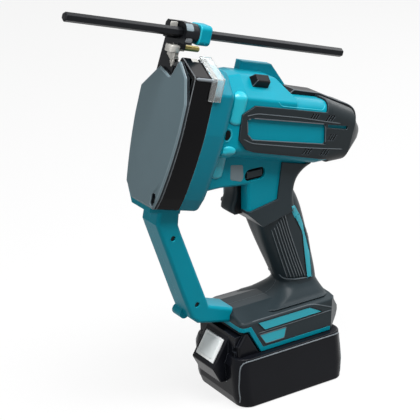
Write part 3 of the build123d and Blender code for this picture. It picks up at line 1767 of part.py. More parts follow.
with BuildPart() as guard_screws:
    for x, z in guard_screw_spots:
        with BuildSketch(facing(x, -guard_half + guard_sink, z, -1)):
            Circle(guard_screw_head)
        extrude(amount=guard_sink / 2)
        with BuildSketch(facing(x, -guard_half + guard_sink, z, 1)):
            Circle(guard_screw_radius)
        extrude(amount=guard_screw_length)
guard_screws.part.label = "guard_screws"
export_step(guard_screws.part, "parts/guard_screws.step")

# Controls
with BuildPart() as trigger:
    with BuildSketch(Plane.XZ):
        with BuildLine():
            Polyline(
                (trigger_front, trigger_low + trigger_toe),
                (trigger_front + trigger_toe, trigger_low),
                (trigger_rear, trigger_low),
                (trigger_rear, trigger_high),
                (trigger_front + trigger_lean, trigger_high),
            )
            trigger_middle = (trigger_low + trigger_toe + trigger_high) / 2
            ThreePointArc(
                (trigger_front + trigger_lean, trigger_high),
                (trigger_front + trigger_lean / 2 + trigger_dish, trigger_middle),
                (trigger_front, trigger_low + trigger_toe),
            )
        make_face()
    extrude(amount=trigger_half, both=True)
    front_edges = trigger.faces().filter_by(Axis.Y).edges().filter_by(GeomType.CIRCLE)
    fillet(front_edges, trigger_round)
    stem_middle = (trigger_rear + switch_front + stem_entry) / 2
    with Locations((stem_middle, 0, stem_height)):
        Box(switch_front + stem_entry - trigger_rear, 2 * stem_half, 2 * stem_half)
trigger.part.label = "trigger"
export_step(trigger.part, "parts/trigger.step")

with BuildPart() as switch_block:
    add(switch_room)
    add(stem_passage, mode=Mode.SUBTRACT)
switch_block.part.label = "switch_block"
export_step(switch_block.part, "parts/switch_block.step")

with BuildPart() as direction_lever:
    with Locations((lever_spot[0], 0, lever_spot[1])):
        Box(2 * lever_half_length, 2 * (neck_half - lever_sink), 2 * lever_half_height)
    fillet(direction_lever.faces().filter_by(Axis.Y).edges(), lever_sink)
direction_lever.part.label = "direction_lever"
export_step(direction_lever.part, "parts/direction_lever.step")

with BuildPart() as selector_knob:
    with BuildSketch(on_facet(knob_front + knob_length / 2)):
        Rectangle(knob_length, knob_width)
    extrude(amount=knob_height, taper=knob_taper)
    knob_top = selector_knob.faces().sort_by(Axis(origin=(0, 0, 0), direction=knob_normal))[-1]
    fillet(knob_top.edges(), knob_round)
    with BuildSketch(on_facet(knob_front + knob_length / 2)):
        Rectangle(knob_stem_length, knob_stem_width)
    extrude(amount=-knob_stem_depth)
selector_knob.part.label = "selector_knob"
export_step(selector_knob.part, "parts/selector_knob.step")

# Electronics in the foot
board_tray = block(
    (-board_length / 2 + board_rim, -board_width / 2 + board_rim, board_low + board_rim),
    (board_length / 2 - board_rim, board_width / 2 - board_rim, board_low + board_height),
)
with BuildPart() as controller_board:
    add(board_room)
    add(board_tray, mode=Mode.SUBTRACT)
controller_board.part.label = "controller_board"
export_step(controller_board.part, "parts/controller_board.step")

roof = deck_top + slide_clearance
terminal_low = notch_low + slide_clearance
blade_middle = (notch_low + deck_top) / 2
blade_low = blade_middle - blade_height / 2
blade_high = blade_middle + blade_height / 2
with BuildPart() as terminal_block:
    add(block((terminal_front, -terminal_half, terminal_low), (terminal_rear, terminal_half, roof)))
    for side in (-1, 1):
        blade_y = side * blade_half
        blade_slot_room = block(
            (terminal_front, blade_y - blade_thick / 2, blade_low),
            (terminal_front + blade_root, blade_y + blade_thick / 2, blade_high),
        )
        add(blade_slot_room, mode=Mode.SUBTRACT)
terminal_block.part.label = "terminal_block"
export_step(terminal_block.part, "parts/terminal_block.step")

with BuildPart() as terminal_blades:
    for side in (-1, 1):
        blade_y = side * blade_half
        blade = block(
            (terminal_front - blade_reach, blade_y - blade_thick / 2, blade_low),
            (terminal_front + blade_root, blade_y + blade_thick / 2, blade_high),
        )
        add(blade)
terminal_blades.part.label = "terminal_blades"
export_step(terminal_blades.part, "parts/terminal_blades.step")

# Battery: case with ten cells, sliding deck with its nose, contacts and release button
with BuildPart() as nose_form:
    add(tool_prism(nose_outline, nose_half))
    fillet(nose_form.edges().filter_by(Axis.Y).sort_by(Axis.X)[:2], nose_round)
    fillet(nose_form.faces().filter_by(Axis.Y).edges(), nose_round / 2)
slope = (nose_outline[3][0] - nose_outline[2][0], nose_outline[3][1] - nose_outline[2][1])
slope_length = hypot(*slope)
slope_dir = (slope[0] / slope_length, slope[1] / slope_length)
press = (slope_dir[1], -slope_dir[0])
button_start = shifted(nose_outline[2], slope_dir, slope_length * button_margin)
button_end = shifted(nose_outline[3], slope_dir, -slope_length * button_margin)

with BuildPart() as battery_case:
    with BuildSketch(Plane.XZ):
        with BuildLine():
            Polyline(
                (battery_front, 0),
                *[(battery_front + x, z) for x, z in case_outline_front],
                *[(battery_rear + x, z) for x, z in case_outline_rear],
                (battery_rear, 0),
                close=True,
            )
        make_face()
    extrude(amount=battery_half, both=True)
    side_edges = battery_case.faces().filter_by(Axis.Y).edges()
    upright = [edge for edge in side_edges if abs(edge.tangent_at(0.5).Z) > 0.5]
    fillet([edge for edge in upright if edge.center().X < 0], battery_front_round)
    fillet([edge for edge in upright if edge.center().X > 0], battery_round)
    fillet(battery_case.faces().sort_by(Axis.Z)[0].edges(), battery_edge)
    fillet(battery_case.faces().sort_by(Axis.Z)[-1].edges(), battery_top_edge)
    add(nose_form.part, mode=Mode.SUBTRACT)
    cell_span = cell_columns * cell_pitch
    cell_room = block(
        (cell_shift - cell_span / 2, -cell_length / 2, case_wall),
        (cell_shift + cell_span / 2, cell_length / 2, battery_height - case_wall),
    )
    add(cell_room, mode=Mode.SUBTRACT)
battery_case.part.label = "battery_case"
export_step(battery_case.part, "parts/battery_case.step")

with BuildPart() as battery_cells:
    for row in range(cell_rows):
        for column in range(cell_columns):
            cell_x = cell_shift + (column - (cell_columns - 1) / 2) * cell_pitch
            cell_z = case_wall + cell_radius + row * (2 * cell_radius + cell_gap)
            with BuildSketch(facing(cell_x, cell_length / 2, cell_z, -1)):
                Circle(cell_radius)
            extrude(amount=cell_length)
battery_cells.part.label = "battery_cells"
export_step(battery_cells.part, "parts/battery_cells.step")

with BuildPart() as shoulder_form:
    add(tool_prism(shoulder_outline, shoulder_half))
    shoulder_edges = shoulder_form.faces().filter_by(Axis.Y).edges()
    fillet([edge for edge in shoulder_edges if edge.center().Z > battery_height], shoulder_round)

with BuildPart() as battery_deck:
    add(block((deck_front, -deck_half, battery_height), (deck_rear, deck_half, deck_top)))
    add(nose_form.part)
    for side in (-1, 1):
        groove_middle = side * (deck_half - rail_depth / 2)
        with Locations(((deck_front + deck_rear) / 2, groove_middle, rail_low + rail_height / 2)):
            Box(
                deck_rear - deck_front,
                rail_depth + 2 * slide_clearance,
                rail_height + 2 * slide_clearance,
                mode=Mode.SUBTRACT,
            )
    add(shoulder_form.part)
    notch = block((notch_front, -notch_half, notch_low), (deck_rear, notch_half, deck_top))
    add(notch, mode=Mode.SUBTRACT)
    for side in (-1, 1):
        blade_y = side * blade_half
        blade_room = block(
            (terminal_front - blade_reach - blade_end_gap, blade_y - blade_slot, notch_low),
            (notch_front, blade_y + blade_slot, deck_top),
        )
        add(blade_room, mode=Mode.SUBTRACT)
    room_start = shifted(button_start, slope_dir, -slide_clearance)
    room_end = shifted(button_end, slope_dir, slide_clearance)
    room_depth = button_thick + button_travel + button_end_gap
    button_room = [
        shifted(room_start, press, -spare),
        shifted(room_end, press, -spare),
        shifted(room_end, press, room_depth),
        shifted(room_start, press, room_depth),
    ]
    add(tool_prism(button_room, button_half + slide_clearance), mode=Mode.SUBTRACT)
battery_deck.part.label = "battery_deck"
export_step(battery_deck.part, "parts/battery_deck.step")

with BuildPart() as battery_contacts:
    for side in (-1, 1):
        leaf_y = side * (blade_half + blade_slot - contact_thick / 2)
        leaf_height = deck_top - notch_low - blade_end_gap
        with Locations((notch_front - blade_contact / 2, leaf_y, notch_low + leaf_height / 2)):
            Box(blade_contact, contact_thick, leaf_height)
battery_contacts.part.label = "battery_contacts"
export_step(battery_contacts.part, "parts/battery_contacts.step")

with BuildPart() as battery_button:
    button_corners = [
        shifted(button_start, press, -button_proud),
        shifted(button_end, press, -button_proud),
        shifted(button_end, press, button_thick),
        shifted(button_start, press, button_thick),
    ]
    with BuildSketch(Plane.XZ):
        Polygon(*button_corners, align=None)
    extrude(amount=button_half, both=True)
    press_axis = Axis(origin=(0, 0, 0), direction=(press[0], 0, press[1]))
    fillet(battery_button.edges().group_by(press_axis)[0], button_proud / 2)
battery_button.part.label = "battery_button"
export_step(battery_button.part, "parts/battery_button.step")
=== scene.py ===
import json
import math

import bpy
import numpy as np
from mathutils import Matrix, Vector

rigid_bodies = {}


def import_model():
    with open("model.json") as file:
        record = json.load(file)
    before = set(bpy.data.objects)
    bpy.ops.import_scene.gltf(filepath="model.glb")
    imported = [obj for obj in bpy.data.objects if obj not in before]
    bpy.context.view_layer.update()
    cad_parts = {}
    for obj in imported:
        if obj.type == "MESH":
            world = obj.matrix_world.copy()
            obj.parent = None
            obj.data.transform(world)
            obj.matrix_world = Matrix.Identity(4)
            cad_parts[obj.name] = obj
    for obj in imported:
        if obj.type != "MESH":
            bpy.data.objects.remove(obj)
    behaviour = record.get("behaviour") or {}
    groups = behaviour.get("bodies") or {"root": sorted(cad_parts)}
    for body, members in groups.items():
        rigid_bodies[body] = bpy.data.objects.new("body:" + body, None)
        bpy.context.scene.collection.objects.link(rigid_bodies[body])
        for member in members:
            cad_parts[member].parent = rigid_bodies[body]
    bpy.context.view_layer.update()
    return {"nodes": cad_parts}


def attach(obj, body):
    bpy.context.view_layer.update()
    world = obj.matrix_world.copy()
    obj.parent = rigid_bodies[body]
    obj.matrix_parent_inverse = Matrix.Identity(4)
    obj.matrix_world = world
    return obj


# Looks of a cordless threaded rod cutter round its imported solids, in metres: X to the rear, Z up, left side at -Y

for leftover in list(bpy.data.objects):  # the start-up cube would count as a piece
    bpy.data.objects.remove(leftover)
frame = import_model()
scene = bpy.context.scene
scene.view_settings.view_transform = "Standard"

# Camera and studio

photoCamera = {
    "place": (-0.7643, -0.9770, 0.6770),
    "azimuth": -35.3,  # degrees round Z, from square on to the left side
    "elevation": 22.4,
    "roll": 1.0,
    "lens": 129.69,
    "sensor": 36.0,
}


def placeCamera(spec):
    # back points from the object to the camera: (sin a cos e, -cos a cos e, sin e), and the roll turns right and down
    azimuth, elevation, roll = (math.radians(spec[key]) for key in ("azimuth", "elevation", "roll"))
    back = Vector((math.sin(azimuth), -math.cos(azimuth), math.tan(elevation))).normalized()
    right = (-back).cross(Vector((0, 0, 1))).normalized()
    down = (-back).cross(right)
    rolledRight = right * math.cos(roll) - down * math.sin(roll)
    rolledDown = right * math.sin(roll) + down * math.cos(roll)
    data = bpy.data.cameras.new("photoCamera")
    data.lens = spec["lens"]
    data.sensor_width = spec["sensor"]
    camera = bpy.data.objects.new("photoCamera", data)
    turn = Matrix((rolledRight, -rolledDown, back)).transposed().to_4x4()
    camera.matrix_world = Matrix.Translation(spec["place"]) @ turn
    scene.collection.objects.link(camera)
    scene.camera = camera


studioLamps = {
    "topBox": {"place": (-0.1, -0.45, 1.5), "size": (1.0, 0.6), "watts": 27.0},
    "skyBox": {"place": (0.95, -0.42, 1.1), "size": (0.9, 0.6), "watts": 6.0},  # seen in the barrel's upper facets
    "frontBox": {"place": (-1.5, -0.55, 0.85), "size": (0.8, 0.8), "watts": 7.2},
    "sideBox": {"place": (0.1, -1.8, 0.9), "size": (1.2, 0.5), "watts": 0.7},
    "rearBox": {"place": (1.2, 0.5, 0.9), "size": (0.7, 0.9), "watts": 5.0},
}
lampAim = Vector((-0.05, 0.0, 0.2))


def hangLamp(name, spec):
    data = bpy.data.lights.new(name, "AREA")
    data.shape = "RECTANGLE"
    data.size, data.size_y = spec["size"]
    data.energy = spec["watts"]
    lamp = bpy.data.objects.new(name, data)
    lamp.location = spec["place"]
    lamp.rotation_euler = (lampAim - lamp.location).to_track_quat("-Z", "Y").to_euler()
    scene.collection.objects.link(lamp)


studioFloor = {
    "half": 3.0,
    "drop": 0.0004,  # just under the battery
    "tone": (0.88, 0.88, 0.88, 1),
    "glow": 0.86,
    "bounce": (0.22, 0.22, 0.22, 1),  # what the floor throws back on the object
    "worldFill": 0.06,
}


def seenRays(tree):
    # 1 for rays from the camera, off gloss or through clear plastic, 0 for rays that light other surfaces
    path = tree.nodes.new("ShaderNodeLightPath")
    seen = path.outputs["Is Camera Ray"]
    for kind in ("Is Glossy Ray", "Is Transmission Ray"):
        either = tree.nodes.new("ShaderNodeMath")
        either.operation = "MAXIMUM"
        tree.links.new(seen, either.inputs[0])
        tree.links.new(path.outputs[kind], either.inputs[1])
        seen = either.outputs[0]
    return seen


def makePaper(spec):
    # pale and glowing where it is seen, dull where it lights the object
    sheet = bpy.data.materials.new("studioPaper")
    sheet.use_nodes = True
    tree = sheet.node_tree
    tree.nodes.remove(tree.nodes["Principled BSDF"])
    pale = tree.nodes.new("ShaderNodeBsdfDiffuse")
    pale.inputs["Color"].default_value = spec["tone"]
    dull = tree.nodes.new("ShaderNodeBsdfDiffuse")
    dull.inputs["Color"].default_value = spec["bounce"]
    glow = tree.nodes.new("ShaderNodeEmission")
    paper = tree.nodes.new("ShaderNodeMixShader")
    paper.inputs["Fac"].default_value = spec["glow"]
    blend = tree.nodes.new("ShaderNodeMixShader")
    tree.links.new(pale.outputs[0], paper.inputs[1])
    tree.links.new(glow.outputs[0], paper.inputs[2])
    tree.links.new(seenRays(tree), blend.inputs["Fac"])
    tree.links.new(dull.outputs[0], blend.inputs[1])
    tree.links.new(paper.outputs[0], blend.inputs[2])
    tree.links.new(blend.outputs[0], tree.nodes["Material Output"].inputs["Surface"])
    return sheet


def layFloor(spec):
    half = spec["half"]
    corners = [(x, y, -spec["drop"]) for x, y in ((-half, -half), (half, -half), (half, half), (-half, half))]
    mesh = bpy.data.meshes.new("studioFloor")
    mesh.from_pydata(corners, [], [(0, 1, 2, 3)])
    mesh.materials.append(makePaper(spec))
    floor = bpy.data.objects.new("studioFloor", mesh)
    scene.collection.objects.link(floor)


def fillRoom(spec):
    # white where it is seen, a faint fill where it lights the object
    world = bpy.data.worlds.new("studioWorld")
    world.use_nodes = True
    scene.world = world
    room = world.node_tree
    level = room.nodes.new("ShaderNodeMapRange")
    level.inputs["To Min"].default_value = spec["worldFill"]
    room.links.new(seenRays(room), level.inputs["Value"])
    room.nodes["Background"].inputs["Color"].default_value = (1, 1, 1, 1)
    room.links.new(level.outputs["Result"], room.nodes["Background"].inputs["Strength"])


placeCamera(photoCamera)
for lampName, lampSpec in studioLamps.items():
    hangLamp(lampName, lampSpec)
layFloor(studioFloor)
fillRoom(studioFloor)
print("studio: camera,", len(studioLamps), "lamps, floor")

# Shared surface effects

mouldLook = {"pebbles": 1500.0, "pebbleDepth": 0.0003, "patches": 28.0, "patchDetail": 3.0}
brushLook = {"lines": 900.0, "lineDetail": 2.0, "lineDepth": 0.0002, "drawnOut": (0.03, 1.0, 1.0), "drift": 45.0}
# reach, samples and the two normal agreements at which the painted edge highlight starts and is full
edgeHighlightLook = {"reach": 0.0007, "samples": 6, "noHighlight": 0.97, "worn": 0.78}  # the last two: how far the normals agree


def openGroup(name, inputs, outputs):
    group = bpy.data.node_groups.new(name, "ShaderNodeTree")
    for label, kind, value in inputs:
        socket = group.interface.new_socket(label, in_out="INPUT", socket_type=kind)
        if value is not None:
            socket.default_value = value
    for label, kind in outputs:
        group.interface.new_socket(label, in_out="OUTPUT", socket_type=kind)
    return group, group.nodes.new("NodeGroupInput"), group.nodes.new("NodeGroupOutput")


def makeMouldGrain(look):
    # fine pebbled mould texture from cell noise, and wide soft patches where the colour and gloss drift
    group, entry, leave = openGroup(
        "mouldGrain",
        [
            ("Vector", "NodeSocketVector", None),
            ("Pebbles", "NodeSocketFloat", look["pebbles"]),
            ("Patches", "NodeSocketFloat", look["patches"]),
        ],
        [("Pebble", "NodeSocketFloat"), ("Patch", "NodeSocketFloat")],
    )
    pebble = group.nodes.new("ShaderNodeTexVoronoi")
    pebble.feature = "SMOOTH_F1"
    patch = group.nodes.new("ShaderNodeTexNoise")
    patch.inputs["Detail"].default_value = look["patchDetail"]
    group.links.new(entry.outputs["Vector"], pebble.inputs["Vector"])
    group.links.new(entry.outputs["Pebbles"], pebble.inputs["Scale"])
    group.links.new(entry.outputs["Vector"], patch.inputs["Vector"])
    group.links.new(entry.outputs["Patches"], patch.inputs["Scale"])
    group.links.new(pebble.outputs["Distance"], leave.inputs["Pebble"])
    group.links.new(patch.outputs["Fac"], leave.inputs["Patch"])
    return group


def makeBrushGrain(look):
    # noise drawn out along the first axis of its vector, as a belt or lathe leaves it, over a slow drift
    group, entry, leave = openGroup(
        "brushGrain",
        [("Vector", "NodeSocketVector", None), ("Lines", "NodeSocketFloat", look["lines"])],
        [("Line", "NodeSocketFloat"), ("Drift", "NodeSocketFloat")],
    )
    stretch = group.nodes.new("ShaderNodeVectorMath")
    stretch.operation = "MULTIPLY"
    stretch.inputs[1].default_value = look["drawnOut"]
    line = group.nodes.new("ShaderNodeTexNoise")
    line.inputs["Detail"].default_value = look["lineDetail"]
    drift = group.nodes.new("ShaderNodeTexNoise")
    drift.inputs["Scale"].default_value = look["drift"]
    group.links.new(entry.outputs["Vector"], stretch.inputs[0])
    group.links.new(stretch.outputs[0], line.inputs["Vector"])
    group.links.new(entry.outputs["Lines"], line.inputs["Scale"])
    group.links.new(entry.outputs["Vector"], drift.inputs["Vector"])
    group.links.new(line.outputs["Fac"], leave.inputs["Line"])
    group.links.new(drift.outputs["Fac"], leave.inputs["Drift"])
    return group


def makePaintedEdgeHighlight(look):
    # a rounded normal leaves the true one close to an edge, and the less they agree the more the edge gets a lighter
    # tone painted as a highlight; the rounded normal is given out as well
    group, entry, leave = openGroup(
        "edgeWear",
        [("Reach", "NodeSocketFloat", look["reach"])],
        [("PaintedHighlight", "NodeSocketFloat"), ("Normal", "NodeSocketVector")],
    )
    rounded = group.nodes.new("ShaderNodeBevel")
    rounded.samples = look["samples"]
    facing = group.nodes.new("ShaderNodeNewGeometry")
    agree = group.nodes.new("ShaderNodeVectorMath")
    agree.operation = "DOT_PRODUCT"
    worn = group.nodes.new("ShaderNodeMapRange")
    worn.inputs["From Min"].default_value = look["noHighlight"]
    worn.inputs["From Max"].default_value = look["worn"]
    group.links.new(entry.outputs["Reach"], rounded.inputs["Radius"])
    group.links.new(rounded.outputs["Normal"], agree.inputs[0])
    group.links.new(facing.outputs["Normal"], agree.inputs[1])
    group.links.new(agree.outputs["Value"], worn.inputs["Value"])
    group.links.new(worn.outputs["Result"], leave.inputs["PaintedHighlight"])
    group.links.new(rounded.outputs["Normal"], leave.inputs["Normal"])
    return group


mouldGrain = makeMouldGrain(mouldLook)
brushGrain = makeBrushGrain(brushLook)
edgeWear = makePaintedEdgeHighlight(edgeHighlightLook)
# the last of these effects paints a lighter highlight tone along edges
print("shared effects: mould grain, brush grain, edge wear")

# Finishes: one for each material slot of the record, and a few more for edges, whose lighter tones are painted
# highlights, and for lighter or darker mouldings

bodyPitch = math.radians(14.5)
noiseSpan = (0.25, 0.75)  # nearly all of a noise lies in it
metalSpecular = 0.1


def shade(red, green, blue):
    # a screen colour of 0 to 255 as linear light: ((c + 0.055) / 1.055) ** 2.4
    screen = np.array((red, green, blue)) / 255.0
    linear = np.where(screen <= 0.04045, screen / 12.92, ((screen + 0.055) / 1.055) ** 2.4)
    return (*linear.tolist(), 1.0)


def openFinish(name, constants):
    material = bpy.data.materials.new(name)
    material.use_nodes = True
    tree = material.node_tree
    shader = tree.nodes["Principled BSDF"]
    for label, value in constants.items():
        shader.inputs[label].default_value = value
    spot = tree.nodes.new("ShaderNodeTexCoord")
    return material, tree, shader, spot.outputs["Object"]


def placeGroup(tree, group, label, value):
    node = tree.nodes.new("ShaderNodeGroup")
    node.node_tree = group
    node.inputs[label].default_value = value
    return node


def driveColour(tree, shader, factor, low, high):
    tint = tree.nodes.new("ShaderNodeMix")
    tint.data_type = "RGBA"
    tint.inputs["A"].default_value = low
    tint.inputs["B"].default_value = high
    tree.links.new(factor, tint.inputs["Factor"])
    tree.links.new(tint.outputs["Result"], shader.inputs["Base Color"])


def layTone(tree, shader, factor, tone):
    # one more tone over the colour that is there, used for the painted edge highlight and the painted shade of a wall
    tint = tree.nodes.new("ShaderNodeMix")
    tint.data_type = "RGBA"
    tint.inputs["B"].default_value = tone
    tree.links.new(shader.inputs["Base Color"].links[0].from_socket, tint.inputs["A"])
    tree.links.new(factor, tint.inputs["Factor"])
    tree.links.new(tint.outputs["Result"], shader.inputs["Base Color"])


def driveRough(tree, shader, factor, low, high):
    spread = tree.nodes.new("ShaderNodeMapRange")
    for label, value in zip(("From Min", "From Max", "To Min", "To Max"), (*noiseSpan, low, high)):
        spread.inputs[label].default_value = value
    tree.links.new(factor, spread.inputs["Value"])
    tree.links.new(spread.outputs["Result"], shader.inputs["Roughness"])


def driveBump(tree, shader, height, strength, distance):
    bump = tree.nodes.new("ShaderNodeBump")
    bump.inputs["Strength"].default_value = strength
    bump.inputs["Distance"].default_value = distance
    tree.links.new(height, bump.inputs["Height"])
    tree.links.new(bump.outputs["Normal"], shader.inputs["Normal"])
    return bump


def wallShare(tree, spot, span):
    # how far a spot lies along the motor line, x cos - z sin, from 0 at the face to 1 down the wall behind it
    reach = tree.nodes.new("ShaderNodeVectorMath")
    reach.operation = "DOT_PRODUCT"
    reach.inputs[1].default_value = (math.cos(bodyPitch), 0, -math.sin(bodyPitch))
    share = tree.nodes.new("ShaderNodeMapRange")
    share.inputs["From Min"].default_value, share.inputs["From Max"].default_value = span
    tree.links.new(spot, reach.inputs[0])
    tree.links.new(reach.outputs["Value"], share.inputs["Value"])
    return share.outputs["Result"]


def mouldedFinish(name, spec):
    material, tree, shader, spot = openFinish(name, spec.get("constants", {}))
    grain = placeGroup(tree, mouldGrain, "Pebbles", spec["pebbles"])
    tree.links.new(spot, grain.inputs["Vector"])
    driveColour(tree, shader, grain.outputs["Patch"], spec["low"], spec["high"])
    driveRough(tree, shader, grain.outputs["Patch"], *spec["rough"])
    bump = driveBump(tree, shader, grain.outputs["Pebble"], spec["bump"], mouldLook["pebbleDepth"])
    # a lighter tone painted along the edges as a highlight, with the rounded normal under the bump
    if "edge" in spec:
        highlight = placeGroup(tree, edgeWear, "Reach", spec.get("edgeReach", edgeHighlightLook["reach"]))
        layTone(tree, shader, highlight.outputs["PaintedHighlight"], spec["edge"])
        tree.links.new(highlight.outputs["Normal"], bump.inputs["Normal"])
    # a darker tone painted down the wall behind a face, as the shade there
    if "wall" in spec:
        layTone(tree, shader, wallShare(tree, spot, spec["wallFrom"]), spec["wall"])
    return material


def metalFinish(name, spec):
    constants = {"Metallic": spec.get("metallic", 1.0), "Specular IOR Level": metalSpecular}
    material, tree, shader, spot = openFinish(name, constants)
    turn = tree.nodes.new("ShaderNodeMapping")
    turn.inputs["Rotation"].default_value = (0, bodyPitch, math.radians(spec.get("turn", 0)))
    grain = placeGroup(tree, brushGrain, "Lines", spec["lines"])
    tree.links.new(spot, turn.inputs["Vector"])
    tree.links.new(turn.outputs["Vector"], grain.inputs["Vector"])
    driveColour(tree, shader, grain.outputs["Drift"], spec["low"], spec["high"])
    driveRough(tree, shader, grain.outputs["Line"], *spec["rough"])
    driveBump(tree, shader, grain.outputs["Line"], spec["bump"], brushLook["lineDepth"])
    return material


# an edge tone is painted along edges as a highlight, and a wall tone is painted on a wall as its shade
mouldedFinishes = {
    "teal_plastic": {
        "low": shade(0, 138, 158), "high": shade(0, 148, 170), "edge": shade(40, 182, 200),
        "rough": (0.34, 0.42), "pebbles": 1500.0, "bump": 0.05,
        "constants": {"Specular IOR Level": 0.12},
    },
    "teal_casting": {
        "low": shade(0, 118, 138), "high": shade(0, 130, 151), "edge": shade(30, 168, 188), "edgeReach": 0.001,
        "rough": (0.3, 0.38), "pebbles": 700.0, "bump": 0.06,
        "constants": {"Specular IOR Level": 0.12, "Coat Weight": 0.04, "Coat Roughness": 0.2},
    },
    "slate_plate": {
        "low": shade(97, 115, 122), "high": shade(107, 126, 133),
        # the wall behind the plate's face takes a darker tone: painted shade
        "wall": shade(34, 38, 42), "wallFrom": (-0.1912, -0.1904),
        "rough": (0.4, 0.48), "pebbles": 1800.0, "bump": 0.06,
        "constants": {"Specular IOR Level": 0.1},
    },
    "black_cover": {
        "low": shade(6, 6, 8), "high": shade(10, 10, 13),
        "rough": (0.16, 0.22), "pebbles": 1200.0, "bump": 0.02,
        "constants": {"Specular IOR Level": 0.08},
    },
    "black_plastic": {
        "low": shade(18, 19, 22), "high": shade(24, 25, 28), "edge": shade(60, 64, 68),
        "rough": (0.3, 0.4), "pebbles": 1500.0, "bump": 0.07,
        "constants": {"Specular IOR Level": 0.1},
    },
    "battery_plastic": {
        "low": shade(15, 16, 21), "high": shade(20, 22, 28), "edge": shade(74, 80, 88),
        "rough": (0.2, 0.28), "pebbles": 1300.0, "bump": 0.04,
        "constants": {"Specular IOR Level": 0.1},
    },
    "grip_rubber": {
        "low": shade(37, 46, 50), "high": shade(45, 55, 60), "edge": shade(74, 84, 90), "edgeReach": 0.0008,
        "rough": (0.34, 0.42), "pebbles": 1700.0, "bump": 0.08,
        "constants": {"Specular IOR Level": 0.14},
    },
    "frameRubber": {
        "low": shade(28, 35, 38), "high": shade(35, 43, 47), "edge": shade(88, 98, 105), "edgeReach": 0.0008,
        "rough": (0.34, 0.42), "pebbles": 1700.0, "bump": 0.08,
        "constants": {"Specular IOR Level": 0.14},
    },
    "white_plastic": {
        "low": shade(246, 250, 250), "high": shade(252, 254, 254),
        "rough": (0.3, 0.38), "pebbles": 1500.0, "bump": 0.04,
    },
    "clear_plastic": {
        "low": shade(232, 238, 238), "high": shade(244, 246, 246),
        "rough": (0.12, 0.18), "pebbles": 900.0, "bump": 0.02,
        "constants": {"Transmission Weight": 0.8, "IOR": 1.3},
    },
    "cell_wrap": {
        "low": shade(38, 92, 120), "high": shade(48, 104, 132),
        "rough": (0.28, 0.34), "pebbles": 900.0, "bump": 0.03,
    },
    "potting": {
        "low": shade(24, 26, 28), "high": shade(34, 36, 38),
        "rough": (0.3, 0.5), "pebbles": 500.0, "bump": 0.1,
    },
    # the next four: lighter tones painted on edges, rims and lines as highlights
    "tealEdgeHighlight": {
        "low": shade(20, 168, 188), "high": shade(36, 182, 201),
        "rough": (0.3, 0.38), "pebbles": 1500.0, "bump": 0.03,
    },
    "gripEdgeHighlight": {
        "low": shade(66, 75, 81), "high": shade(80, 90, 96),
        "rough": (0.38, 0.46), "pebbles": 1700.0, "bump": 0.06,
    },
    "batteryEdgeHighlight": {
        "low": shade(84, 90, 98), "high": shade(104, 110, 118),
        "rough": (0.3, 0.38), "pebbles": 1300.0, "bump": 0.05,
    },
    "coverEdgeHighlight": {
        "low": shade(84, 88, 92), "high": shade(108, 112, 116),
        "rough": (0.2, 0.28), "pebbles": 1200.0, "bump": 0.02,
    },
    # a lighter teal: painted as a highlight on the flare's bands, and laid on the inlays
    "tealLight": {
        "low": shade(0, 166, 184), "high": shade(10, 178, 197),
        "rough": (0.28, 0.34), "pebbles": 1500.0, "bump": 0.03,
    },
    "buttonFace": {
        "low": shade(232, 239, 239), "high": shade(240, 245, 245),
        "rough": (0.42, 0.5), "pebbles": 1500.0, "bump": 0.04,
    },
    # a pale tone painted on crests, ridges and the battery's outline as highlights
    "paleHighlightLine": {
        "low": shade(104, 112, 118), "high": shade(126, 134, 140),
        "rough": (0.36, 0.44), "pebbles": 1700.0, "bump": 0.04,
    },
    # a lighter slate, painted as a highlight on the plate's edge and on the boss, and the grey of the symbol's place
    "plateEdge": {
        "low": shade(106, 122, 129), "high": shade(116, 132, 139),
        "rough": (0.36, 0.44), "pebbles": 1800.0, "bump": 0.05,
    },
}
metalFinishes = {
    "tool_steel": {
        "low": shade(178, 177, 172), "high": shade(214, 212, 206), "metallic": 0.35,
        "rough": (0.26, 0.36), "lines": 1400.0, "bump": 0.05,
    },
    "black_steel": {
        "low": shade(26, 27, 30), "high": shade(34, 36, 39), "metallic": 0.4,
        "rough": (0.26, 0.34), "lines": 1200.0, "bump": 0.015,
    },
    "gear_steel": {
        "low": shade(130, 132, 134), "high": shade(152, 153, 155),
        "rough": (0.3, 0.4), "lines": 1100.0, "bump": 0.05,
    },
    "bearing_steel": {
        "low": shade(176, 178, 180), "high": shade(194, 195, 197),
        "rough": (0.16, 0.24), "lines": 1600.0, "bump": 0.03,
    },
    "lamination": {
        "low": shade(96, 98, 102), "high": shade(118, 120, 124), "turn": 90,
        "rough": (0.4, 0.5), "lines": 2200.0, "bump": 0.15,
    },
    "brass": {
        "low": shade(146, 132, 78), "high": shade(172, 157, 98), "metallic": 0.6,
        "rough": (0.3, 0.4), "lines": 1300.0, "bump": 0.04,
    },
    "copper": {
        "low": shade(176, 104, 70), "high": shade(196, 122, 84),
        "rough": (0.26, 0.36), "lines": 1500.0, "bump": 0.06,
    },
    "alloy": {
        "low": shade(150, 152, 155), "high": shade(170, 172, 174),
        "rough": (0.36, 0.46), "lines": 700.0, "bump": 0.08,
    },
}
ownFinishes = {  # nodes that are lighter or darker than the slot they share
    "tealLight": ["foot_inlay_left", "foot_inlay_right", "grip_inlay_left", "grip_inlay_right"],
    "grip_rubber": ["direction_lever"],
    "frameRubber": ["side_frame_left", "side_frame_right"],
}
finishes = {slot: mouldedFinish(slot, spec) for slot, spec in mouldedFinishes.items()}
finishes |= {slot: metalFinish(slot, spec) for slot, spec in metalFinishes.items()}
for node in frame["nodes"].values():
    for place in node.material_slots:
        place.material = finishes[place.material.name.split(".")[0]]
for finish, nodeNames in ownFinishes.items():
    for nodeName in nodeNames:
        frame["nodes"][nodeName].material_slots[0].material = finishes[finish]
print("finishes:", len(finishes))

# Edges on the solids that show, cut to a narrow round that mostly takes a lighter tone painted as a highlight

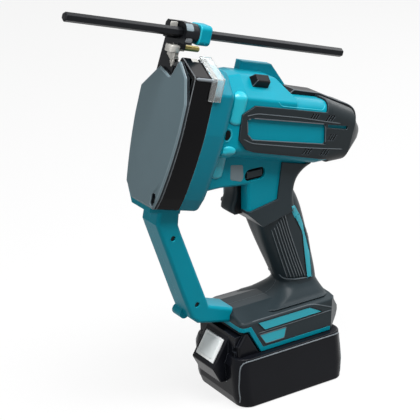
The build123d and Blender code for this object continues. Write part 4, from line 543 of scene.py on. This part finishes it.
edgeCuts = {  # the edge's finish, or none of its own, and its width on each node
    "tealEdgeHighlight": {
        "clamp_cap": 0.0008, "grip_inlay_left": 0.0003, "grip_inlay_right": 0.0003,
        "foot_inlay_left": 0.0003, "foot_inlay_right": 0.0003,
    },
    "gripEdgeHighlight": {"rear_bumper": 0.0007, "direction_lever": 0.0005, "selector_knob": 0.0005},
    "batteryEdgeHighlight": {"battery_case": 0.0006},
    "coverEdgeHighlight": {"front_cover": 0.0006, "clamp_sleeve": 0.0003},
    "plateEdge": {"front_plate": 0.0004},
    None: {
        "gauge_bar": 0.0003, "fixed_die": 0.0003, "stop_pin": 0.0003, "chip_guard": 0.0002, "cover_bolts": 0.0003,
    },
}
edgeRound = {"join": 0.00002, "segments": 2, "sharp": math.radians(35)}


def softenEdges(name, width, edgeFinish):
    # faces of one solid are joined, every sharp edge is cut to a narrow round, and that round takes the edge's finish,
    # a lighter tone painted as a highlight
    node = frame["nodes"][name]
    join = node.modifiers.new("joinFaces", "WELD")
    join.merge_threshold = edgeRound["join"]
    bevel = node.modifiers.new("softEdges", "BEVEL")
    bevel.width = width
    bevel.segments = edgeRound["segments"]
    bevel.limit_method = "ANGLE"
    bevel.angle_limit = edgeRound["sharp"]
    bevel.use_clamp_overlap = False
    even = node.modifiers.new("evenShade", "WEIGHTED_NORMAL")
    even.keep_sharp = True
    if edgeFinish:
        node.data.materials.append(finishes[edgeFinish])
        bevel.material = len(node.data.materials) - 1


for edgeFinish, cuts in edgeCuts.items():
    for cutNode, cutWidth in cuts.items():
        softenEdges(cutNode, cutWidth, edgeFinish)
print("soft edges:", sum(len(cuts) for cuts in edgeCuts.values()), "nodes")

# Raised and sunk detail laid on the solids, in millimetres

motorHeight = 241.0
sideNames = {"left": -1.0, "right": 1.0}
solidFaces = {}
faceSlack = 0.001  # share of a triangle by which a spot may miss it
faceMargin = 1.0  # triangles further than this from all the spots are passed over
lineLook = {"step": 0.8, "cornerPoints": 9, "cornerShare": 0.45, "fewest": 12}
fullTurn = np.linspace(0, 2 * np.pi, 72, endpoint=False)


def unit(arrows):
    return arrows / np.linalg.norm(arrows, axis=-1, keepdims=True)


def fromBody(spots):
    # along the motor line u and over it v: x = u cos + (241 + v) sin, z = (241 + v) cos - u sin
    along, over = np.asarray(spots, float).T
    over = over + motorHeight
    run, lift = math.cos(bodyPitch), math.sin(bodyPitch)
    return np.column_stack([along * run + over * lift, over * run - along * lift])


def facesOf(name):
    # triangles of one solid as (face, corner, xyz)
    if name not in solidFaces:
        mesh = frame["nodes"][name].data
        mesh.calc_loop_triangles()
        spots = np.empty(len(mesh.vertices) * 3, np.float32)
        mesh.vertices.foreach_get("co", spots)
        corners = np.empty(len(mesh.loop_triangles) * 3, np.int32)
        mesh.loop_triangles.foreach_get("vertices", corners)
        solidFaces[name] = spots.reshape(-1, 3)[corners].reshape(-1, 3, 3).astype(float) * 1000.0
    return solidFaces[name]


def carriersOf(names, sideName):
    # a name without its side is the half on that side
    return [name if name in frame["nodes"] else name + "_" + sideName for name in names]


def restOn(names, spots, side):
    # a line along Y through each spot (x, z) meets the triangles: with the shares b and c of the second and third
    # corner, y = ya + b (yb - ya) + c (yc - ya), and the outermost face on that side carries the spot
    faces = np.concatenate([facesOf(name) for name in names])
    outward = np.cross(faces[:, 1] - faces[:, 0], faces[:, 2] - faces[:, 0])
    flat = faces[:, :, ::2]
    lowest, highest = spots.min(0) - faceMargin, spots.max(0) + faceMargin
    near = (flat.max(1) > lowest).all(1) & (flat.min(1) < highest).all(1)
    near &= outward[:, 1] * side > 1e-9  # a face on edge has no area here
    faces, flat, outward = faces[near], flat[near], outward[near]
    first, second = flat[:, 1] - flat[:, 0], flat[:, 2] - flat[:, 0]
    area = first[:, 0] * second[:, 1] - first[:, 1] * second[:, 0]
    reach = spots[:, None] - flat[None, :, 0]
    shareB = (reach[..., 0] * second[:, 1] - reach[..., 1] * second[:, 0]) / area
    shareC = (first[:, 0] * reach[..., 1] - first[:, 1] * reach[..., 0]) / area
    rise = faces[:, 1:, 1] - faces[:, :1, 1]
    height = faces[:, 0, 1] + shareB * rise[:, 0] + shareC * rise[:, 1]
    inside = (shareB > -faceSlack) & (shareC > -faceSlack) & (shareB + shareC < 1 + faceSlack)
    height = np.where(inside, height * side, -np.inf)
    pick, rest = height.argmax(1), height.max(1)
    found = np.isfinite(rest)
    order = np.arange(len(spots))
    pick = pick[found][np.abs(order[:, None] - order[found]).argmin(1)]  # off the solid, as the nearest spot on it
    rest = np.interp(order, order[found], rest[found]) * side
    return rest, unit(outward[pick])


def onFace(spots, rest):
    return np.column_stack([spots[:, 0], rest, spots[:, 1]])


def roundLine(corners, reach, closed, step):
    # each corner becomes (1-t)^2 before + 2t(1-t) corner + t^2 after, from reach before it to reach after it, and the
    # whole line is then spaced evenly by its length
    corners = np.asarray(corners, float)
    ways = np.stack([np.roll(corners, 1, 0), np.roll(corners, -1, 0)]) - corners
    length = np.linalg.norm(ways, axis=2, keepdims=True)
    before, after = corners + ways / length * np.minimum(reach, lineLook["cornerShare"] * length)
    t = np.linspace(0, 1, lineLook["cornerPoints"])[None, :, None]
    curve = (1 - t) ** 2 * before[:, None] + 2 * t * (1 - t) * corners[:, None] + t**2 * after[:, None]
    if not closed:
        curve[0], curve[-1] = corners[0], corners[-1]
    line = np.concatenate([curve.reshape(-1, 2), curve[0, :1]]) if closed else curve.reshape(-1, 2)
    travel = np.r_[0, np.cumsum(np.linalg.norm(np.diff(line, axis=0), axis=1))]
    count = max(int(travel[-1] / step), lineLook["fewest"])
    at = np.linspace(0, travel[-1], count, endpoint=not closed)
    return np.column_stack([np.interp(at, travel, line[:, 0]), np.interp(at, travel, line[:, 1])])


def lineOf(spec, closed):
    corners = fromBody(spec["line"]) if spec.get("tilted") else spec["line"]
    return roundLine(corners, spec["reach"], closed, lineLook["step"])


def roundedFrame(spot, halfLength, halfHeight, radius):
    # a slot-shaped line: a circle of that radius moved out to the nearest of four corner centres
    circle = np.column_stack([np.cos(fullTurn), np.sin(fullTurn)])
    return np.array(spot) + circle * radius + np.sign(circle) * (np.array([halfLength, halfHeight]) - radius)


def endTaper(count, start):
    # square root of the steps from the nearer end, full after three
    order = np.arange(count)
    return np.sqrt(np.clip(np.minimum(order, order[::-1]) / 3 + start, 0, 1))


def weave(name, runs, closed, look):
    # each run is a grid (ring, point, xyz): neighbours both ways become quads, and an open run is capped by its ends
    spots, faces, start = [], [], 0
    for rings in runs:
        count, width = rings.shape[:2]
        cloud = rings.reshape(-1, 3)
        index = np.arange(count * width).reshape(count, width)
        here, there = (index, np.roll(index, -1, 0)) if closed else (index[:-1], index[1:])
        quads = np.stack([here, np.roll(here, -1, 1), np.roll(there, -1, 1), there], -1).reshape(-1, 4)
        first, second, third, fourth = (cloud - cloud.mean(0))[quads].swapaxes(0, 1)
        volume = (first * (np.cross(second, third) + np.cross(third, fourth))).sum()
        flip = -1 if volume < 0 else 1  # faces look outward
        ends = [] if closed else [index[0, ::-1], index[-1]]
        faces += (quads[:, ::flip] + start).tolist() + [(end[::flip] + start).tolist() for end in ends]
        spots.append(cloud)
        start += count * width
    mesh = bpy.data.meshes.new(name)
    mesh.from_pydata((np.concatenate(spots) * 0.001).tolist(), [], faces)
    mesh.polygons.foreach_set("use_smooth", np.ones(len(mesh.polygons), bool))
    mesh.materials.append(finishes[look["finish"]])
    piece = bpy.data.objects.new(name, mesh)
    scene.collection.objects.link(piece)
    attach(piece, look.get("body", "body"))


# Beads: borders, seams and low bands, raised; the pale ones are painted highlights and the dark ones painted shade

beads = {
    # pale strips along the frame's window, ridge and keel and the panel's edge: painted highlights
    "windowBorder": {
        "line": [(-125, 7), (-120, 9), (-39, 9.6), (-34, -8), (-115, -9.5), (-121, -5)],
        "tilted": True, "closed": True, "reach": 2.0, "width": 0.9, "height": 0.3,
        "on": ["side_frame", "housing"], "finish": "gripEdgeHighlight", "slot": "grip_rubber",
    },
    "frameRidge": {
        "line": [(-126, 10.5), (-116, 13.2), (-70, 13.2), (-22, 11.2)],
        "tilted": True, "reach": 4.0, "width": 0.8, "height": 0.3,
        "on": ["side_frame"], "finish": "gripEdgeHighlight", "slot": "grip_rubber",
    },
    "frameKeel": {
        "line": [(-124, -9.5), (-114, -12.4), (-60, -12.6), (-12, -11.4)],
        "tilted": True, "reach": 4.0, "width": 0.8, "height": 0.3,
        "on": ["side_frame"], "finish": "gripEdgeHighlight", "slot": "grip_rubber",
    },
    "panelEdge": {
        "line": [(-95, 24.5), (-91, 21), (-44, 20.8), (-39.5, 26)],
        "tilted": True, "reach": 3.0, "width": 0.8, "height": 0.3,
        "on": ["housing", "side_frame"], "finish": "tealEdgeHighlight", "slot": "teal_plastic",
    },
    # wide light bands on the flare, on either side of the bolt: painted highlight
    "flareHighlightUpper": {
        "line": [(-134, 29), (-134, 14), (-134, 1)],
        "tilted": True, "reach": 3.0, "width": 12.0, "height": 1.3, "sink": 0.6,
        "on": ["housing"], "finish": "tealLight", "slot": "teal_plastic",
    },
    "flareHighlightLower": {
        "line": [(-134, -17), (-134, -30), (-134, -48)],
        "tilted": True, "reach": 3.0, "width": 12.0, "height": 1.3, "sink": 0.6,
        "on": ["housing"], "finish": "tealLight", "slot": "teal_plastic",
    },
    # pale rim round the bolt's recess: painted highlight
    "boltRim": {
        "line": [(-139.5, -13.8), (-136.2, -13), (-134.5, -8), (-136.2, -3), (-139.5, -2.2)],
        "tilted": True, "reach": 3.0, "width": 1.0, "height": 0.4,
        "on": ["housing"], "finish": "tealEdgeHighlight", "slot": "teal_plastic",
    },
    # pale line along the black cover's ridge: painted highlight
    "coverRidgeHighlight": {
        "line": [(-187.0, 36.9), (-166.5, 36.9)],
        "tilted": True, "reach": 1.0, "width": 2.6, "height": 0.7, "sink": 0.8, "sides": ["left"],
        "on": ["front_cover"], "finish": "paleHighlightLine", "slot": "black_cover",
    },
    # pale sill under the ribs: painted highlight
    "ribSill": {
        "line": [(-1.5, 108.5), (1.6, 104.4), (25, 101.8)],
        "reach": 2.5, "width": 1.3, "height": 0.6,
        "on": ["grip"], "finish": "gripEdgeHighlight", "slot": "grip_rubber",
    },
    # dark line round the handle's inlay: painted shade of the groove there
    "inlayGrooveShade": {
        "line": [(6, 166), (12, 168), (26.5, 140), (30, 101.5), (24.5, 101.5), (16.5, 148)],
        "closed": True, "reach": 2.0, "width": 0.9, "height": 0.25,
        "on": ["grip_inlay", "grip"], "finish": "black_plastic", "slot": "black_plastic",
    },
    # pale lines along the foot's sill and crease: painted highlights
    "footSill": {
        "line": [(-46, 82), (17, 82), (24, 81), (44, 72.8)],
        "reach": 4.0, "width": 1.0, "height": 0.35,
        "on": ["grip"], "finish": "gripEdgeHighlight", "slot": "grip_rubber",
    },
    "footCrease": {
        "line": [(-40, 69.6), (0, 69.8), (43, 70.4)],
        "reach": 3.0, "width": 0.9, "height": 0.35,
        "on": ["grip"], "finish": "gripEdgeHighlight", "slot": "grip_rubber",
    },
    # dark line round the foot's inlay: painted shade of the groove there
    "footInlayGrooveShade": {
        "line": [(-41, 80.2), (-33, 71.2), (32.5, 72), (17, 80.2)],
        "closed": True, "reach": 1.2, "width": 0.8, "height": 0.25,
        "on": ["foot_inlay", "grip"], "finish": "black_plastic", "slot": "black_plastic",
    },
    # pale border: painted highlight
    "badgeEdge": {
        "line": [(-38.5, 67.5), (-31.5, 57.5), (-11, 57.5), (-9, 67.5)],
        "closed": True, "reach": 1.0, "width": 0.8, "height": 0.3,
        "on": ["foot_inlay", "grip"], "finish": "gripEdgeHighlight", "slot": "grip_rubber",
    },
    # raised outline of the battery's side panel, in a pale tone painted as its highlight
    "batteryPanel": {
        "line": [(-58, 5), (-60.5, 20), (-61.5, 43), (-57, 48), (48, 48), (53, 44), (54.5, 20), (53.5, 5)],
        "reach": 5.0, "width": 1.2, "height": 0.5,
        "on": ["battery_case"], "finish": "paleHighlightLine", "slot": "battery_plastic", "body": "battery",
    },
}
beadLook = {"points": 12, "sink": 0.5, "endShare": 0.08}


def beadRun(line, spec, carriers, side):
    # low crowned strip along a line: across = half width x cos t, out = height x sin t above the face and sink x sin t
    # below it, drawn in at open ends
    rest, outward = restOn(carriers, line, side)
    path = onFace(line, rest)
    closed = spec.get("closed", False)
    along = np.roll(path, -1, 0) - np.roll(path, 1, 0) if closed else np.gradient(path, axis=0)
    across = unit(np.cross(along, outward))
    t = np.linspace(0, 2 * np.pi, beadLook["points"], endpoint=False)
    sideways = spec["width"] / 2 * np.cos(t)
    upward = np.where(np.sin(t) > 0, spec["height"], spec.get("sink", beadLook["sink"])) * np.sin(t)
    taper = np.ones(len(line)) if closed else endTaper(len(line), beadLook["endShare"])
    section = across[:, None] * sideways[None, :, None] + outward[:, None] * upward[None, :, None]
    return path[:, None] + section * taper[:, None, None]


for beadName, bead in beads.items():
    closed = bead.get("closed", False)
    for sideName in bead.get("sides", sideNames):
        run = beadRun(lineOf(bead, closed), bead, carriersOf(bead["on"], sideName), sideNames[sideName])
        weave(beadName + sideName.capitalize(), [run], closed, bead)
print("beads:", sum(len(bead.get("sides", sideNames)) for bead in beads.values()))

# Plates: thin flat forms with a rounded rim

plates = {
    "inlayTongue": {
        "line": [(18.6, 156), (18.4, 151.8), (23.4, 138), (27, 127), (30, 125), (28.6, 137), (24.4, 148)],
        "reach": 1.2, "height": 0.6,
        "on": ["grip_inlay", "grip"], "finish": "grip_rubber", "slot": "grip_rubber",
    },
    "inlayHead": {
        "line": [(-0.6, 178.5), (4.6, 177.6), (12.2, 166.4), (13.4, 160.5), (9.2, 160.5), (3.6, 168.5)],
        "reach": 0.8, "height": 0.35,
        "on": ["grip_inlay", "grip"], "finish": "tealLight", "slot": "teal_plastic",
    },
    # dark sheet over the bolt's recess: painted shade
    "boltRecessShade": {
        "line": [(-140.2, -12.6), (-136.8, -12), (-135.4, -8), (-136.8, -4), (-140.2, -3.4)],
        "tilted": True, "reach": 2.6, "height": 0.25,
        "on": ["housing"], "finish": "black_cover", "slot": "black_cover",
    },
    # pale steel on the bracket's inner wall: painted reflection
    "trayWallHighlight": {
        "line": [(-196.2, 63), (-189, 63), (-189, 74.6), (-196.2, 74.6)],
        "tilted": True, "reach": 1.0, "height": 0.3, "sides": ["left"],
        "on": ["hook_arm"], "finish": "tool_steel", "slot": "tool_steel",
    },
    # pale plates above and below the bar's place on the boss: painted highlights
    "bossUpperHighlight": {
        "line": [(-187.7, 70.2), (-180.5, 70.2), (-180.5, 75.3), (-187.7, 75.3)],
        "tilted": True, "reach": 1.0, "height": 0.3, "sides": ["left"],
        "on": ["hook_arm"], "finish": "plateEdge", "slot": "black_steel",
    },
    "bossLowerHighlight": {
        "line": [(-187.7, 60.6), (-180.5, 60.6), (-180.5, 64.2), (-186.2, 64.2)],
        "tilted": True, "reach": 1.0, "height": 0.3, "sides": ["left"],
        "on": ["hook_arm"], "finish": "coverEdgeHighlight", "slot": "black_steel",
    },
    "symbolPlace": {
        "line": [(-66, 229.5), (-53.4, 227.1), (-52.2, 215.4), (-54.6, 212.2), (-66, 216)],
        "reach": 1.6, "height": 0.2, "sides": ["left"],
        "on": ["housing"], "finish": "plateEdge", "slot": "slate_plate",
    },
}
plateRim = {  # shares of the way out from the middle and the lift at each, with -1 for the sunk underside
    "shares": np.array([0.0, 0.45, 0.8, 0.93, 0.98, 1.0, 1.0, 0.0]),
    "lifts": np.array([1.0, 1.0, 1.0, 0.9, 0.6, 0.2, -1.0, -1.0]),
    "sink": 0.4,
    "middle": 0.02,  # size of the inner line of a plate without a hole
}


def plateRun(outer, inner, spec, carriers, side):
    # flat plate with a rounded rim between an inner line and an outer one: spot = inner + s (outer - inner), lifted by
    # the rim's profile of s and closed underneath
    shares, lifts = plateRim["shares"], plateRim["lifts"]
    spots = (inner[None] + shares[:, None, None] * (outer - inner)[None]).reshape(-1, 2)
    rest, outward = restOn(carriers, spots, side)
    level = np.where(lifts > 0, spec["height"], plateRim["sink"]) * lifts
    lifted = onFace(spots, rest) + outward * np.repeat(level, len(outer))[:, None]
    return lifted.reshape(len(shares), len(outer), 3)


for plateName, plate in plates.items():
    line = lineOf(plate, True)
    centre = line.mean(0) + plateRim["middle"] * (line - line.mean(0))
    for sideName in plate.get("sides", sideNames):
        run = plateRun(line, centre, plate, carriersOf(plate["on"], sideName), sideNames[sideName])
        weave(plateName + sideName.capitalize(), [run], False, plate)
print("plates:", sum(len(plate.get("sides", sideNames)) for plate in plates.values()))

leverBezel = {
    "spot": (-40.0, 216.0), "hole": (8.5, 3.5, 0.8), "eye": (10.9, 5.4, 5.3), "height": 0.5,
    "on": ["housing"], "finish": "black_cover", "slot": "black_plastic",
}
eyeLine = roundedFrame(leverBezel["spot"], *leverBezel["eye"])
holeLine = roundedFrame(leverBezel["spot"], *leverBezel["hole"])
for sideName, side in sideNames.items():
    run = plateRun(eyeLine, holeLine, leverBezel, carriersOf(leverBezel["on"], sideName), side)
    weave("leverBezel" + sideName.capitalize(), [run], True, leverBezel)
print("lever bezels:", len(sideNames))

# Dark sheets in the vents, painted as the shade inside them

ventShade = {
    "spots": [(-53.3, 15.0), (-35.2, 15.0), (-28.0, -1.5), (-52.5, -15.5), (-32.1, -15.0)],
    "slots": (-1, 0, 1), "pitch": 3.0, "half": (0.78, 3.2), "slant": math.radians(-25.0),
    "reach": 0.3, "step": 0.5, "outside": 1.8,
    "shares": np.array([0.02, 0.6, 1.0, 1.0]), "sinks": np.array([0.3, 0.3, 0.3, 1.2]),
    "on": ["side_frame"], "finish": "black_cover", "slot": "black_plastic",
}


def ventLines(spec):
    # each spot has a row of slots, turned by the slant
    run, lift = math.cos(spec["slant"]), math.sin(spec["slant"])
    slot = np.array([(-1, -1), (1, -1), (1, 1), (-1, 1)]) * spec["half"] @ np.array([(run, lift), (-lift, run)])
    places = [np.array(spot) + (step * spec["pitch"], 0) for spot in spec["spots"] for step in spec["slots"]]
    return [roundLine(fromBody(slot + place), spec["reach"], True, spec["step"]) for place in places]


def ventRun(line, spec, carriers, side):
    # dark sheet in one slot, painted shade: middle + s (line - middle), sunk by a depth for each s from the face just
    # outside the slot, and closed below
    middle = line.mean(0)
    rest, outward = restOn(carriers, middle + spec["outside"] * (line - middle), side)
    spots = middle + spec["shares"][:, None, None] * (line - middle)[None]
    level = rest.mean() - side * spec["sinks"]
    return np.stack([spots[..., 0], np.broadcast_to(level[:, None], spots.shape[:2]), spots[..., 1]], -1)


for sideName, side in sideNames.items():
    carriers = carriersOf(ventShade["on"], sideName)
    runs = [ventRun(line, ventShade, carriers, side) for line in ventLines(ventShade)]
    weave("ventShadeSheets" + sideName.capitalize(), runs, False, ventShade)
print("vent floors:", len(sideNames))

# Ribs of the handle

ribPanel = {
    "corners": [(-19.0, 157), (-7.0, 175), (23.2, 103.4), (3.2, 105.4)],
    "ribs": 7, "ribPoints": 10, "rows": 40, "height": 1.0, "narrow": 1.5, "fade": 0.04,
    "clear": 0.1, "proud": 0.02, "sink": 0.6, "smooth": (4, 5),
    "on": ["grip"], "finish": "grip_rubber", "slot": "grip_rubber",
}
# pale cords on the crests: painted highlights
ribCrestHighlight = {"radius": 0.3, "points": 8, "endShare": 0.05, "finish": "paleHighlightLine", "slot": "grip_rubber"}


def ribRun(spec, carriers, side):
    # across the panel a and along it b: spot = the four corners mixed by a and b, height = ((1 - cos 2 pi n a) / 2)
    # to the power that narrows the ribs, faded to nothing at both ends of b, on the sum of a^i b^j nearest the handle
    a = np.linspace(0, 1, spec["ribs"] * spec["ribPoints"] + 1)
    b = np.linspace(0, 1, spec["rows"])
    topNear, topFar, lowFar, lowNear = np.array(spec["corners"], float)
    top = topNear + a[:, None] * (topFar - topNear)
    low = lowNear + a[:, None] * (lowFar - lowNear)
    spots = (top[None] + b[:, None, None] * (low - top)[None]).reshape(-1, 2)
    rest, outward = restOn(carriers, spots, side)
    shareA, shareB = (share.ravel() for share in np.broadcast_arrays(a[None], b[:, None]))
    termsA, termsB = spec["smooth"]
    powers = np.stack([shareA**i * shareB**j for i in range(termsA) for j in range(termsB)], -1)
    rest = powers @ np.linalg.lstsq(powers, rest, rcond=None)[0]  # the facets of the handle evened out
    ground = onFace(spots, rest + side * spec["clear"]).reshape(len(b), len(a), 3)
    outward = unit(np.cross(np.gradient(ground, axis=0), np.gradient(ground, axis=1)))
    outward *= np.sign(outward[..., 1:2]) * side
    ridge = ((1 - np.cos(2 * np.pi * spec["ribs"] * a)) / 2) ** spec["narrow"]
    fade = np.clip(np.minimum(b, 1 - b) / spec["fade"], 0, 1)
    height = spec["height"] * ridge[None] * fade[:, None] + spec["proud"]
    crown, under = ground + outward * height[..., None], ground - outward * spec["sink"]
    return np.concatenate([crown, under[:, ::-1]], axis=1)


def crestRun(path, spec):
    # thin round cord along a crest, in a pale tone painted as its highlight: path + radius (cos t across + sin t up),
    # drawn in at both ends
    along = np.gradient(path, axis=0)
    across = unit(np.cross(along, (0, 1, 0)))
    upward = unit(np.cross(across, along))
    t = np.linspace(0, 2 * np.pi, spec["points"], endpoint=False)[None, :, None]
    section = across[:, None] * np.cos(t) + upward[:, None] * np.sin(t)
    return path[:, None] + spec["radius"] * section * endTaper(len(path), spec["endShare"])[:, None, None]


crestPoints = ribPanel["ribPoints"] // 2 + ribPanel["ribPoints"] * np.arange(ribPanel["ribs"])
for sideName, side in sideNames.items():
    ribs = ribRun(ribPanel, carriersOf(ribPanel["on"], sideName), side)
    weave("ribPanel" + sideName.capitalize(), [ribs], False, ribPanel)
    crests = [crestRun(ribs[:, point], ribCrestHighlight) for point in crestPoints]
    weave("ribCrestHighlights" + sideName.capitalize(), crests, False, ribCrestHighlight)
print("rib panels and crests:", 2 * len(sideNames))

# Finger pad of the trigger and face of the battery's button

triggerPad = {
    "profile": [(-54.0, 205.8), (-52.6, 196.0), (-57.6, 181.0), (-52.8, 177.5)],
    "reach": 7.0, "step": 0.6, "points": 25, "half": 8.7, "depth": 3.6, "square": 0.55,
    "finish": "grip_rubber", "slot": "grip_rubber", "body": "trigger",
}


def padRun(spec):
    # level sections one under another: aside = half sin^p t, back from the profile's x by depth (1 - cos^p t), and
    # closed behind by a straight line inside the trigger
    profile = roundLine(spec["profile"], spec["reach"], False, spec["step"])
    t = np.linspace(-np.pi / 2, np.pi / 2, spec["points"])
    aside = spec["half"] * np.sign(t) * np.abs(np.sin(t)) ** spec["square"]
    back = spec["depth"] * (1 - np.clip(np.cos(t), 0, 1) ** spec["square"])
    return np.stack(np.broadcast_arrays(profile[:, :1] + back[None], aside[None], profile[:, 1:]), -1)


weave("triggerPad", [padRun(triggerPad)], False, triggerPad)

buttonPanel = {
    "toward": (-0.9, 0.0, 0.44), "cosine": 0.7, "flat": 0.05, "size": 0.8, "radius": 1.2,
    "shares": np.array([0.02, 0.9, 0.97, 1.0, 1.0, 0.02]),
    "lifts": np.array([0.25, 0.25, 0.225, 0.125, -0.3, -0.3]),
    "on": "battery_button", "finish": "buttonFace", "slot": "white_plastic", "body": "battery_button",
}


def panelRun(spec):
    # rounded plate on the largest flat face of a solid that looks one way: the face's middle + s (share of its half
    # sizes), lifted along its normal and closed underneath
    faces = facesOf(spec["on"])
    outward = np.cross(faces[:, 1] - faces[:, 0], faces[:, 2] - faces[:, 0])
    extent = np.linalg.norm(outward, axis=1)
    largest = np.where(outward @ np.array(spec["toward"]) > spec["cosine"] * extent, extent, 0).argmax()
    normal = outward[largest] / extent[largest]
    level = np.abs((faces - faces[largest, 0]) @ normal).max(1) < spec["flat"]
    aside = np.array([0.0, 1.0, 0.0])
    along = np.cross(normal, aside)
    spread = faces[level].reshape(-1, 3) @ np.column_stack([aside, along])
    middle, half = (spread.max(0) + spread.min(0)) / 2, (spread.max(0) - spread.min(0)) / 2
    outline = roundedFrame((0, 0), *(half * spec["size"]), spec["radius"])
    spots = middle + spec["shares"][:, None, None] * outline[None]
    depth = faces[largest, 0] @ normal + spec["lifts"]
    return spots[..., :1] * aside + spots[..., 1:] * along + depth[:, None, None] * normal


weave("buttonPanel", [panelRun(buttonPanel)], False, buttonPanel)
print("trigger pad and button panel: 2")

# Small forms on the fixed die

dieAnvil = {
    "middle": (0.5, 53.4), "half": (4.4, 3.2, 1.0),
    "stations": [(-196.5, 0.84), (-196.0, 0.96), (-195.3, 1.0), (-187.8, 1.0)],
    "finish": "tool_steel", "slot": "tool_steel",
}
dieWeb = {
    "line": [(-0.4, 56), (5.5, 56), (5, 45), (1.8, 37.5), (-0.4, 41)], "reach": 0.8, "step": 0.5,
    "stations": [(-189.0, 0.9), (-188.7, 1.0), (-187.8, 1.0)],
    "finish": "tool_steel", "slot": "tool_steel",
}
dieEye = {
    "middle": (1.6, 43.0), "radius": 1.7, "wire": 0.6, "front": -189.0,
    "finish": "tool_steel", "slot": "tool_steel",
}


def acrossMotor(along, aside, over):
    # grids of places along the motor line, aside of it and over it
    along, aside, over = np.broadcast_arrays(along, aside, over)
    plane = fromBody(np.column_stack([along.ravel(), over.ravel()])).reshape(*over.shape, 2)
    return np.stack([plane[..., 0], aside, plane[..., 1]], -1)


def loftRun(outline, stations):
    # rings across the motor line: at each station (u, share) the outline (y, v) is drawn to its middle by the share
    along, share = np.array(stations, float).T
    middle = outline.mean(0)
    flat = middle + (outline - middle)[None] * share[:, None, None]
    return acrossMotor(along[:, None], flat[..., 0], flat[..., 1])


def eyeRun(spec):
    # ring of round wire: radius R + r cos t round the middle at every angle, and r sin t along the motor line
    angle, t = fullTurn[:, None], fullTurn[None, ::6]
    out = spec["radius"] + spec["wire"] * np.cos(t)
    along = spec["front"] + spec["wire"] * np.sin(t)
    aside, over = spec["middle"]
    return acrossMotor(along, aside + np.cos(angle) * out, over + np.sin(angle) * out)


anvilLine = roundedFrame(dieAnvil["middle"], *dieAnvil["half"])
webLine = roundLine(dieWeb["line"], dieWeb["reach"], True, dieWeb["step"])
weave("dieAnvil", [loftRun(anvilLine, dieAnvil["stations"])], False, dieAnvil)
weave("dieWeb", [loftRun(webLine, dieWeb["stations"])], False, dieWeb)
weave("dieEye", [eyeRun(dieEye)], True, dieEye)
print("die details: 3")
